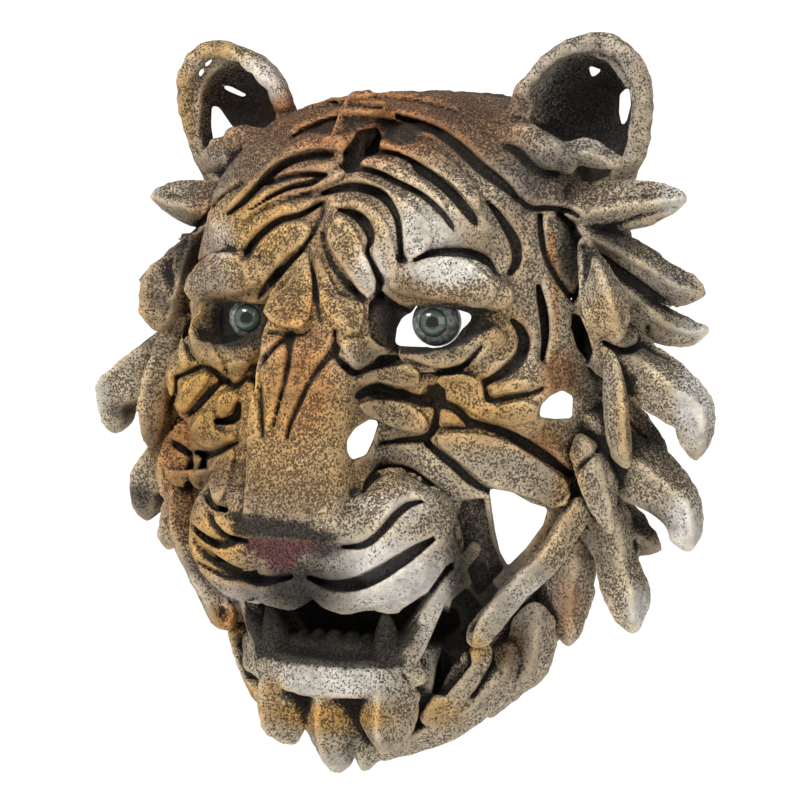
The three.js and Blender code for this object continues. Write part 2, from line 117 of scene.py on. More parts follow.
def rod_field(rows, facing, power=2.4, parts=4, pad=8.0, crest=0.0):
    """Distance to a bar along rows of (x, f, z, half width, half depth), its depth along the facing direction.
    At each stretch the offset is split along, across and towards the facing, and squared by the power.
    A crest above nought thickens the middle of the width, so that the bar has a keel."""
    rows = spline(rows, parts)
    reach = rows[:, 3:5].max() + pad
    cut, x, f, z = window(rows[:, :3].min(0) - reach, rows[:, :3].max(0) + reach)
    own = np.full((x.size, f.size, z.size), FAR_OFF, np.float32)
    ox, of, oz = (c.start for c in cut)
    for a, b in zip(rows[:-1], rows[1:]):
        reach = max(a[3], a[4], b[3], b[4]) + pad
        sub, x, f, z = window(np.minimum(a, b)[:3] - reach, np.maximum(a, b)[:3] + reach)
        here = tuple(slice(c.start - o, c.stop - o) for c, o in zip(sub, (ox, of, oz)))
        run = b[:3] - a[:3]
        length = float(np.linalg.norm(run)) + 1e-6
        t = run / length
        n = np.asarray(facing, float) - t * float(np.dot(facing, t))
        n /= np.linalg.norm(n)
        w = np.cross(t, n)
        x, f, z = x - np.float32(a[0]), f - np.float32(a[1]), z - np.float32(a[2])
        q = [x * np.float32(v[0]) + f * np.float32(v[1]) + z * np.float32(v[2]) for v in (t, w, n)]
        s = np.clip(q[0] / length, 0, 1)
        wide = a[3] + (b[3] - a[3]) * s
        deep = a[4] + (b[4] - a[4]) * s
        if crest:
            deep = deep * (1 - crest + 2 * crest * np.maximum(0, 1 - np.abs(q[1]) / wide))
        d = squared([q[0] - s * length, q[1], q[2]], [np.minimum(wide, deep), wide, deep], power)
        own[here] = np.minimum(own[here], d.astype(np.float32))
    return cut, own


FIELD = np.full(SHAPE, FAR_OFF, np.float32)


def both(sides=True):
    """The signs by which a form is repeated: both sides of the head, or as drawn."""
    return (1, -1) if sides else (1,)


def bars(rows, facing, sides, far, power, parts, **more):
    """Distance to a bar on each side of the head that has it; the far one may stand nearer the middle."""
    for sign in both(sides):
        r = np.array(rows, float)
        r[:, 0] *= sign if sign > 0 else -far
        yield rod_field(r, (facing[0] * sign, facing[1], facing[2]), power, parts, **more)


def add_rod(rows, facing=(0, 1, 0), k=3.0, power=2.4, sides=True, parts=4, crest=0.0, far=1.0):
    """Joins a bar to the casting."""
    for cut, own in bars(rows, facing, sides, far, power, parts, crest=crest):
        FIELD[cut] = lower(FIELD[cut], own, k)


def cut_rod(rows, facing=(0, 1, 0), k=1.5, power=3.0, sides=True, parts=4, far=1.0):
    """Takes a bar out of the casting."""
    for cut, own in bars(rows, facing, sides, far, power, parts, pad=4.0):
        FIELD[cut] = upper(FIELD[cut], -own, k)


def add_ball(middle, half, k=4.0, power=2.0, sides=True):
    """Joins a ball of three half sizes, worked out up to 9 mm around it."""
    for sign in both(sides and middle[0] != 0):
        m = (middle[0] * sign, middle[1], middle[2])
        cut, x, f, z = window([a - b - 9 for a, b in zip(m, half)], [a + b + 9 for a, b in zip(m, half)])
        FIELD[cut] = lower(FIELD[cut], squared([x - m[0], f - m[1], z - m[2]], half, power), k)


def noise_field(size, seed):
    """Smooth random field: seeded values on a coarse grid, eased between its points along each axis."""
    rng = np.random.default_rng(seed)
    out = rng.uniform(-1, 1, [int((h - l) / size) + 3 for l, h in zip(LOW, HIGH)]).astype(np.float32)
    for axis in range(3):
        t = (AXES[axis] - LOW[axis]) / size
        i = t.astype(int)
        w = t - i
        w = w * w * (3 - 2 * w)
        w = w.reshape([-1 if a == axis else 1 for a in range(3)]).astype(np.float32)
        out = np.take(out, i, axis) * (1 - w) + np.take(out, i + 1, axis) * w
    return out


# ---------------------------------------------------------------------------------- the head's forms
# the skull narrows towards the jaw, where the locks overlap it
cut, X, F, Z = window(LOW, HIGH)
jaw = np.clip((-30 - Z) / 100, 0, 1)
jaw = jaw * jaw * (3 - 2 * jaw)
narrowed = [X * (1 + (0.24 + 0.12 * (X < 0)) * jaw), F * (1 + 0.04 * jaw), Z - 4]
FIELD[cut] = squared(narrowed, (141, 130, 184), 3.0)
# crown and forehead ridge, nose bridge and its tip; rows are x, forward, z, half width, half depth
add_rod([(0, 90, 172, 14, 14), (0, 118, 112, 20, 15), (0, 128, 82, 20, 15), (0, 140, 44, 24, 16)],
        k=10, sides=False)
add_rod([(0, 126, 44, 22, 28), (0, 142, 24, 31, 30), (0, 157, -57, 33, 30), (0, 160, -70, 33, 28)],
        k=5, power=5, sides=False)
add_rod([(0, 164, -74, 27, 22), (0, 156, -90, 13, 16)], k=4, power=3.5, sides=False)
cut, x, f, z = window((-42, 120, -104), (42, 200, -48))
nose_face = 187.0 + 0.45 * (z + 57.5) - 0.004 * x * x
FIELD[cut] = np.where(z < -50, upper(FIELD[cut], (f - nose_face) * 0.9, 0.8), FIELD[cut])
# muzzle and its lower front, forehead, brow, cheek and chin: middle, half sizes, rounding
for middle, half, k in (((45, 140, -74), (42, 38, 42), 5), ((20, 150, -98), (22, 24, 19), 6),
                        ((24, 120, 92), (25, 15, 30), 8), ((56, 112, 106), (38, 14, 26), 10),
                        ((88, 102, 12), (42, 21, 34), 8), ((22, 98, -156), (42, 30, 34), 8)):
    add_ball(middle, half, k=k)
# brow plates over the eyes, and the lower lids
add_rod([(36, 124, 66, 7, 10), (48, 127, 73, 13, 11), (66, 126, 76, 15, 11), (84, 120, 75, 14, 11),
         (101, 112, 68, 8, 9)], k=3)
add_rod([(40, 124, 46, 6, 9), (58, 127, 33, 9, 11), (80, 123, 33, 9.5, 11), (98, 114, 42, 7, 9)], k=4)
# lower lip, and the inner corner of the eye
add_rod([(-57, 116, -150, 11, 11), (-32, 131, -155, 11, 12), (0, 137, -157.5, 11.5, 12),
         (32, 131, -156, 11, 12), (44, 121, -154, 9, 12)], k=2, power=5, sides=False)
add_ball((33, 124, 50), (13, 24, 20), k=6)
HEAD = FIELD.copy()

# ---------------------------------------------------------------------------------- locks of fur
# Each lock: points x, forward, z from root to tip, half widths and half depths at each.
LOCKS = [
    # outer row of the ruff, from the ear down
    [(118, 52, 114, 20, 15), (142, 50, 118, 16, 14), (158, 46, 120, 14, 12), (172, 43, 122, 11, 10),
     (180, 42, 123, 7, 7)],
    [(124, 54, 102, 14, 14), (138, 51, 95, 13, 14), (158, 46, 84, 13, 13), (176, 41, 73, 12.5, 12),
     (187, 38, 70, 10, 10)],
    [(140, 51, 76, 10, 11), (158, 45, 61, 11, 11), (171, 37, 49, 12, 11), (184, 31, 45, 8.5, 8),
     (191, 29, 46, 5, 5)],
    [(134, 56, 44, 17, 15), (160, 58, 28, 18, 16), (186, 61, 11, 17, 15), (200, 62, 0, 14.5, 13),
     (202, 62, -17, 10, 9)],
    [(134, 56, -12, 17, 15), (152, 58, -27, 19, 15), (173, 58, -40, 19, 15), (190, 57, -55, 14, 12),
     (194, 56, -72, 10, 9)],
    [(120, 55, -90, 16, 13), (115, 52, -114, 17, 13), (116, 50, -134, 9, 8)],
    # the row of clubs in front, and the back row seen between the locks
    [(138, 76, 97, 5, 8), (145, 79, 82, 10, 12), (152, 80, 64, 14.5, 14), (156, 79, 52, 13, 12)],
    [(151, 72, 38, 4, 8), (156, 74, 19, 6.5, 10), (159, 76, -4, 8, 12), (162, 77, -21, 7, 9),
     (165, 77, -29, 4, 5)],
    [(140, 80, -22, 10, 11), (149, 82, -38, 12, 12), (153, 81, -56, 8, 10), (156, 79, -68, 3, 5)],
    [(136, 44, 0, 15, 10), (158, 45, -18, 14, 9), (172, 46, -26, 8, 7)],
    [(130, 44, -58, 14, 10), (150, 45, -72, 15, 9), (166, 46, -79, 9, 7)],
    # overlapping forms of the jaw's rim
    [(104, 72, -126, 13, 12), (99, 67, -147, 15, 12), (90, 64, -161, 12, 11), (84, 62, -171, 7, 7)],
    [(90, 80, -148, 11, 12), (82, 76, -167, 12, 11), (78, 74, -178, 8, 7)],
    [(84, 82, -158, 12, 14), (72, 86, -174, 12, 14), (60, 90, -182, 11, 13)],
    # beard
    [(36, 126, -166, 19, 18), (35, 127, -184, 17, 17), (33, 123, -195, 8, 9)],
]
NEAR_LOCK = [(134, 56, -50, 14, 14), (147, 57, -68, 13, 13), (151, 56, -92, 13.5, 12), (157, 56, -109, 14, 12),
             (159, 56, -122, 10, 9)]
FAR_LOCK = [(-128, 56, -46, 14, 14), (-140, 57, -62, 13, 13), (-150, 56, -76, 13, 12), (-157, 56, -90, 10, 9)]


def flute(rows, facing, across, size, first, last):
    """Rows of a narrow groove along a lock: its line stands off the lock's middle by a share of the half width,
    and rides on the keeled front."""
    r = spline(np.array(rows, float), 4)
    r = r[int(len(r) * first):int(math.ceil(len(r) * last)) + 1]
    t = np.gradient(r[:, :3], axis=0)
    t /= np.linalg.norm(t, axis=1)[:, None]
    n = np.array(facing) - t * (t @ np.array(facing))[:, None]
    n /= np.linalg.norm(n, axis=1)[:, None]
    lift = (0.78 + 0.5 * (1 - abs(across))) * (1 - across ** 2) ** 0.5
    line = r[:, :3] + np.cross(t, n) * (r[:, 3] * across)[:, None] + n * (r[:, 4] * lift)[:, None]
    taper = np.sin(np.linspace(0.15, math.pi - 0.15, len(r)))
    return np.column_stack([line, size * taper, 2.2 * size * taper])[::2]


CHISEL = np.random.default_rng(11)
for rows in LOCKS:
    outward = np.array([rows[1][0] * 0.35, 60, 0.0])
    outward /= np.linalg.norm(outward)
    far = 0.96 if rows[-1][2] > -60 else 0.97 if rows[-1][1] > 100 else 0.90
    add_rod(rows, facing=outward, k=1.2, power=1.4, crest=0.28, far=far)
    for across in (CHISEL.uniform(-0.62, -0.25), CHISEL.uniform(0.2, 0.62)):
        size, first, last = CHISEL.uniform(1.0, 1.7), CHISEL.uniform(0.15, 0.3), CHISEL.uniform(0.7, 0.92)
        cut_rod(flute(rows, outward, across, size, first, last), facing=outward, k=1.2, power=2.0, parts=2,
                far=far)
for rows in (NEAR_LOCK, FAR_LOCK):
    add_rod(rows, facing=(0.6 if rows[0][0] > 0 else -0.6, 0.8, 0), k=1.2, power=1.4, sides=False, crest=0.28)
add_rod([(0, 126, -168, 20, 18), (0, 127, -192, 19, 17), (0, 121, -209, 9, 10)], k=1, power=1.25,
        sides=False, crest=0.25)
add_rod([(17, 112, -176, 14, 12), (15, 112, -198, 13, 12), (13, 112, -209, 8, 8)], k=1, power=1.3, crest=0.2,
        sides=False)
add_rod([(72, 86, -174, 12, 14), (56, 92, -186, 12, 14), (40, 98, -195, 10, 13), (22, 106, -203, 8, 11)], k=1.5,
        power=1.6, crest=0.2, sides=False)
add_ball((0, 98, -168), (60, 22, 20), k=2)
# the jaw's two crescents, one below the other
add_rod([(136, 80, -58, 8, 9), (124, 94, -85, 8.5, 11), (105, 105, -107, 8, 11), (87, 110, -130, 9, 10)],
        facing=(0.1, 1, 0.25), k=1.2, power=1.7, crest=0.25)
add_rod([(80, 98, -144, 9, 11), (72, 102, -158, 10, 11), (62, 106, -171, 10, 11), (55, 108, -179, 8.5, 9)],
        facing=(0.2, 1, 0.25), k=1.5, power=1.6, crest=0.25)

# ---------------------------------------------------------------------------------- ears
EAR_MIDDLE, EAR_HALF, EAR_TURN, EAR_WALL = (118, 40, 170), (37, 37, 45), math.radians(8), 6.0
EAR_OPEN = (math.sin(EAR_TURN), math.cos(EAR_TURN))
HOOP = [(77, 46, 170), (83, 46, 184), (96, 46, 198), (112, 45, 210), (129, 45, 215), (145, 43, 210),
        (155, 39, 196), (157, 35, 178), (152, 31, 155), (143, 29, 137)]
EAR_INSIDE = [h - EAR_WALL for h in EAR_HALF]


def ear_offsets(x, f, z, sign):
    """Offsets of drawn points from an ear's middle: across its opening, out of it, and up."""
    dx, df = x * sign - EAR_MIDDLE[0], f - EAR_MIDDLE[1]
    return [dx * EAR_OPEN[1] - df * EAR_OPEN[0], dx * EAR_OPEN[0] + df * EAR_OPEN[1], z - EAR_MIDDLE[2]]


ears = []
for sign in (1, -1):
    middle = EAR_MIDDLE[0] * sign
    cut, x, f, z = window([middle - 62, -4, 105], [middle + 62, 100, 232])
    offsets = ear_offsets(x, f, z, sign)
    shell = np.maximum(squared(offsets, EAR_HALF, 2.0), offsets[1] - 1.0)
    FIELD[cut] = lower(FIELD[cut], shell, 3)
    ears.append((cut, squared(offsets, EAR_INSIDE, 2.0)))
add_rod([(*p, 5.5, 6) for p in HOOP], facing=(EAR_OPEN[0], EAR_OPEN[1], 0), k=2.5, power=2)
for cut, inside in ears:
    # the cup is hollowed from in front, down to the head and to 6 mm from the wall
    inside = np.maximum(np.maximum(inside, -(HEAD[cut] + 3)), 6 - AXES[1][None, cut[1], None])
    FIELD[cut] = upper(FIELD[cut], -inside, 2)
# tufts at the foot of each ear and a bar across its back, then a fold under the near ear's front
for rows in [[(96, 66, 156, 8, 8), (112, 70, 150, 9, 9), (122, 66, 144, 6, 6)],
             [(84, 72, 160, 6, 6), (98, 74, 160, 7, 6), (106, 68, 156, 5, 5)],
             [(108, 12, 196, 5, 5), (122, 12, 200, 5, 5), (134, 12, 190, 4, 4)]]:
    add_rod(rows, k=4)
add_rod([(120, 62, 150, 6, 7), (133, 58, 150, 8, 7), (145, 50, 144, 5, 6)], k=3, power=1.5, crest=0.2,
        sides=False)

# ---------------------------------------------------------------------------------- carving seen by the camera
# Strokes and outlines are named by what they carve, in pixels of the photograph, with widths in pixels and
# depths in millimetres; "twin" ones are repeated on the far side of the head.
STROKES = {  # name: points (pixel x, pixel y, full width), depth, twin
    "forehead inner": ([(322, 194, 4), (334, 190, 8), (352, 187, 10), (370, 190, 10), (384, 197, 10),
        (393, 209, 8), (398, 222, 7), (400, 240, 6), (402, 260, 4)], 7.5, 0),
    "forehead wedge": ([(338, 210, 3), (351, 213, 8), (362, 220, 11), (369, 230, 11), (371, 241, 7),
        (367, 250, 4), (372, 262, 4), (378, 275, 6), (381, 283, 5)], 8, 0),
    "forehead second": ([(341, 166, 5), (362, 169, 6), (379, 173, 6), (397, 182, 6), (417, 192, 6),
        (431, 202, 6), (443, 214, 6), (450, 223, 6), (454, 230, 3)], 7, 0),
    "forehead third": ([(372, 153, 5), (392, 153, 5), (410, 160, 5), (420, 169, 10), (436, 180, 10),
        (451, 193, 11), (462, 205, 11), (472, 217, 10), (476, 223, 6)], 8, 0),
    "temple upper": ([(396, 116, 3), (420, 124, 8), (441, 134, 10), (462, 150, 12), (482, 169, 13),
        (497, 180, 12), (509, 190, 9), (518, 200, 4)], 8.5, 0),
    "temple wide": ([(487, 201, 3), (497, 213, 7), (507, 228, 10), (514, 240, 12), (517, 251, 12),
        (516, 263, 10), (510, 273, 7)], 8, 0),
    "brow crease": ([(415, 261, 3), (428, 254, 5), (442, 251, 6), (460, 250, 6), (476, 254, 7), (488, 262, 8),
        (495, 272, 5)], 6, 0),
    "under the eye": ([(380, 358, 5), (395, 357, 4), (409, 361, 4), (427, 368, 6), (442, 371, 6), (462, 366, 6),
        (474, 355, 6), (482, 346, 3)], 5, 1),
    "eye corner curl": ([(512, 320, 5), (521, 331, 11), (524, 345, 13), (518, 360, 14), (506, 371, 13),
        (487, 382, 6)], 8, 1),
    "temple slot": ([(538, 286, 5), (541, 300, 9), (544, 318, 10), (545, 338, 8), (542, 360, 4)], 12, 1),
    "temple edge": ([(540, 216, 5), (541, 235, 7), (545, 255, 6), (555, 276, 6), (567, 293, 6), (573, 301, 3)],
        8, 1),
    "panel side": ([(558, 214, 4), (570, 224, 7), (579, 240, 9), (587, 258, 9), (583, 280, 8), (574, 299, 4)],
        9, 1),
    "lid under": ([(379, 290, 3), (392, 303, 4), (410, 310, 3), (432, 309, 2)], 4, 1),
    "ridge side": ([(323, 232, 4), (326, 248, 7), (333, 264, 8), (345, 281, 8), (360, 297, 5)], 4, 0),
    "nose right": ([(336, 348, 8), (323, 363, 8), (310, 382, 7), (299, 405, 6), (290, 426, 5), (287, 441, 3)],
        5, 0),
    "nose middle": ([(291, 336, 7), (289, 360, 7), (285, 381, 5), (279, 404, 4), (273, 428, 3)], 5, 0),
    "nose left": ([(253, 370, 7), (259, 387, 8), (262, 408, 6), (263, 436, 3)], 5, 0),
    "nose notch": ([(251, 374, 6), (266, 357, 6), (277, 345, 5), (291, 335, 4)], 5, 0),
    "between the eyes": ([(268, 333, 3), (283, 333, 5), (301, 335, 4), (312, 328, 2)], 5, 0),
    "nose bridge crack": ([(335, 330, 4), (336, 354, 5), (345, 367, 5), (355, 373, 4)], 6, 0),
    "left brow upper": ([(246, 256, 4), (252, 244, 6), (264, 232, 7), (281, 220, 7), (301, 215, 6),
        (322, 203, 3)], 6, 0),
    "left brow lower": ([(259, 297, 3), (266, 287, 6), (280, 272, 7), (292, 260, 5), (303, 250, 2)], 5, 0),
    "left lid crease": ([(192, 269, 4), (203, 261, 5), (215, 258, 5), (228, 261, 4), (237, 268, 2)], 5, 0),
    "left stripe one": ([(268, 184, 3), (280, 180, 5), (294, 176, 5), (312, 174, 5), (325, 175, 3)], 4, 0),
    "left stripe two": ([(228, 214, 3), (246, 200, 6), (262, 184, 6), (275, 172, 7), (292, 161, 8),
        (312, 156, 8), (332, 155, 6)], 6, 0),
    "left stripe three": ([(196, 230, 3), (208, 213, 5), (226, 195, 5), (243, 183, 3)], 4, 0),
    "left stripe four": ([(252, 209, 2), (270, 197, 4), (292, 187, 5), (312, 183, 6), (327, 174, 3)], 4, 0),
    "crown one": ([(262, 118, 2), (300, 108, 5), (345, 104, 6), (382, 108, 3)], 3.5, 0),
    "crown two": ([(290, 138, 3), (320, 124, 7), (352, 118, 8), (392, 122, 6), (425, 130, 3)], 5, 0),
    "crown three": ([(352, 100, 2), (388, 98, 4), (424, 103, 4), (456, 112, 2)], 3, 0),
    "mid line": ([(311, 262, 2), (316, 285, 4), (318, 306, 4), (322, 326, 2)], 3, 0),
    "forehead root": ([(300, 252, 2), (314, 232, 5), (322, 214, 6), (326, 200, 4)], 4, 0),
    "muzzle upper": ([(363, 493, 3), (368, 483, 8), (377, 474, 10), (391, 469, 9), (407, 471, 9), (423, 480, 7),
        (439, 491, 3)], 7, 1),
    "muzzle middle": ([(343, 547, 4), (364, 545, 8), (381, 532, 9), (395, 516, 9), (409, 505, 8),
        (424, 501, 3)], 7, 1),
    "muzzle lower": ([(308, 577, 4), (330, 585, 11), (355, 584, 15), (378, 574, 17), (398, 562, 15),
        (416, 550, 12), (433, 539, 5)], 9, 1),
    "lip line": ([(345, 608, 2), (370, 608, 3), (392, 604, 3), (416, 593, 3), (432, 578, 2)], 1.5, 0),
    "left muzzle crease": ([(189, 524, 3), (205, 538, 7), (219, 544, 8), (233, 543, 5)], 7, 0),
    "left muzzle fold": ([(198, 562, 2), (219, 574, 5), (237, 576, 5), (256, 571, 3)], 4, 0),
    "left muzzle lip": ([(229, 602, 2), (246, 600, 4), (258, 597, 2)], 4, 0),
    "above the cheek bar": ([(402, 394, 9), (418, 400, 10), (431, 402, 8), (445, 404, 8), (458, 410, 9),
        (468, 420, 8), (482, 425, 8), (502, 431, 9), (520, 440, 10), (545, 456, 11), (569, 474, 6)], 8, 1),
    "under the first bar": ([(358, 396, 8), (366, 391, 11), (380, 389, 11), (398, 394, 10)], 8, 1),
    "below the cheek bar": ([(428, 444, 6), (440, 454, 8), (455, 466, 9), (470, 480, 9), (488, 491, 5)], 8, 1),
    "bar four end": ([(432, 396, 5), (437, 410, 7), (434, 426, 8), (426, 437, 8), (404, 440, 6), (380, 443, 3)],
        8, 1),
    "bar five foot": ([(436, 428, 3), (455, 428, 5), (472, 427, 4)], 5, 1),
    "bar six head": ([(484, 380, 5), (486, 392, 5), (490, 400, 7), (510, 397, 7), (531, 393, 5), (543, 388, 4)],
        5, 1),
    "bar three head": ([(430, 386, 5), (426, 392, 7), (424, 400, 6)], 6, 1),
    "bar one foot": ([(346, 366, 5), (352, 374, 4), (364, 370, 5), (378, 364, 5), (395, 361, 4)], 5, 1),
    "behind the temple": ([(520, 200, 5), (530, 208, 7), (545, 208, 6), (566, 210, 5), (578, 216, 5)], 7, 1),
    "lock one foot": ([(600, 231, 3), (618, 224, 5), (645, 214, 4), (674, 207, 2)], 3, 0),
    "lock two foot": ([(583, 246, 3), (601, 256, 6), (620, 270, 8), (645, 288, 8), (668, 304, 6),
        (680, 313, 3)], 8, 0),
    "lock four brow": ([(640, 338, 3), (652, 350, 6), (668, 358, 4)], 6, 0),
    "club end": ([(604, 342, 4), (618, 350, 7), (632, 350, 8), (644, 340, 6), (648, 326, 3)], 9, 0),
    "lock tip crack": ([(683, 275, 3), (690, 283, 3), (697, 290, 2)], 2, 0),
    "jaw bar edge": ([(572, 474, 4), (585, 462, 5), (598, 450, 3)], 5, 0),
    "far gap one": ([(180, 376, 4), (194, 370, 6), (206, 367, 4), (218, 374, 6), (228, 381, 5)], 6, 0),
    "far gap two": ([(178, 418, 4), (190, 413, 6), (202, 401, 8), (213, 389, 8), (222, 382, 4)], 8, 0),
    "far gap three": ([(176, 376, 3), (176, 392, 4), (171, 406, 6), (176, 426, 5)], 6, 0),
    "far gap four": ([(228, 382, 3), (236, 386, 7), (244, 380, 5), (254, 370, 3)], 6, 0),
    "far gap five": ([(216, 421, 4), (226, 421, 8), (236, 417, 10), (239, 404, 5)], 8, 0),
    "far gap six": ([(198, 452, 4), (212, 454, 6), (226, 448, 5), (238, 442, 3)], 6, 0),
    "far gap seven": ([(168, 440, 5), (180, 447, 8), (190, 454, 6)], 8, 0),
    "far gap eight": ([(205, 458, 6), (203, 474, 8), (204, 490, 6), (212, 506, 5), (226, 510, 6)], 8, 0),
    "far ring gap": ([(188, 312, 3), (185, 335, 4), (190, 353, 4), (198, 362, 3)], 4, 0),
    "crack one": ([(280, 662, 1), (282, 672, 2), (286, 682, 1)], 1.5, 0),
    "crack two": ([(400, 664, 3), (403, 674, 4), (410, 684, 2)], 4, 0),
}
HOLLOWS = {  # name: outline in pixels, depth, twin: a sunk place with a flat floor
    "eye corner": ([(369, 303), (380, 292), (391, 300), (406, 309), (400, 320), (396, 332), (395, 347),
        (381, 347), (371, 338), (367, 320)], 5, 1),
    "eye rim": ([(384, 344), (396, 340), (430, 340), (462, 326), (473, 316), (479, 318), (472, 333), (450, 348),
        (412, 353), (388, 352)], 4.5, 1),
    "crown cleft": ([(343, 152), (352, 141), (358, 131), (377, 128), (382, 137), (378, 149), (368, 156),
        (359, 162), (356, 170), (347, 172), (345, 162)], 11, 0),
    "crown shade": ([(300, 130), (345, 118), (400, 124), (432, 140), (400, 146), (362, 132), (330, 136)], 4, 0),
    "temple panel": ([(549, 219), (560, 217), (571, 228), (584, 250), (584, 272), (572, 298), (562, 284),
        (547, 256)], 3, 1),
    "temple pit": ([(572, 312), (580, 316), (588, 334), (593, 352), (589, 362), (577, 348), (571, 328)], 14, 1),
    "mouth corner": ([(452, 600), (466, 588), (482, 606), (474, 630), (470, 650), (472, 664), (446, 696),
        (432, 694), (436, 668), (446, 634)], 13, 1),
    "jaw gap": ([(462, 500), (484, 498), (492, 540), (504, 568), (478, 596), (464, 560), (452, 530)], 6, 1),
    "under bar five": ([(437, 383), (431, 392), (428, 399), (440, 405), (444, 401), (446, 390)], 7, 1),
}
HOLES = {  # name: outline in pixels, nearest and farthest forward millimetres, twin
    "eye opening": ([(395, 343), (397, 328), (402, 318), (408, 314), (416, 311), (436, 309.5), (457, 309.5),
        (469, 313), (472, 317), (469, 323), (462, 329), (454, 335), (443, 340), (431, 342), (426, 344),
        (425, 347), (400, 346)], 60, 200, 0),
    "far eye gap": ([(231, 305), (238, 305), (236, 309), (234, 314), (231, 309)], 0, 112, 0),
    "nose window": ([(370, 419), (379, 421), (373, 440), (366, 455), (352, 460), (347, 452), (347, 440),
        (355, 428)], 30, 200, 1),
    "temple window": ([(562, 390), (573, 396), (572, 418), (556, 419), (539, 417), (541, 405), (550, 396)], 20,
        200, 1),
    "cheek window": ([(489, 488), (512, 492), (531, 503), (548, 508), (543, 525), (526, 548), (508, 566),
        (500, 552), (495, 530)], 20, 200, 1),
    "ear nick": ([(588, 65), (602, 70), (595, 76), (592, 78)], 0, 60, 0),
    "ear slot": ([(620, 94), (629, 86), (631, 104), (627, 120), (622, 127), (619, 112)], 0, 60, 0),
    "under the muzzle": ([(402, 609), (428, 592), (446, 566), (455, 560), (452, 580), (436, 606), (416, 628),
        (400, 640), (396, 618)], 104, 170, 1),
    "far ear gap": ([(212, 106), (219, 107), (232, 126), (239, 131), (230, 140), (220, 150), (214, 144),
        (211, 124)], 0, 70, 0),
    "far ear slot": ([(220, 84), (232, 87), (249, 96), (243, 97), (228, 91)], 0, 60, 0),
}
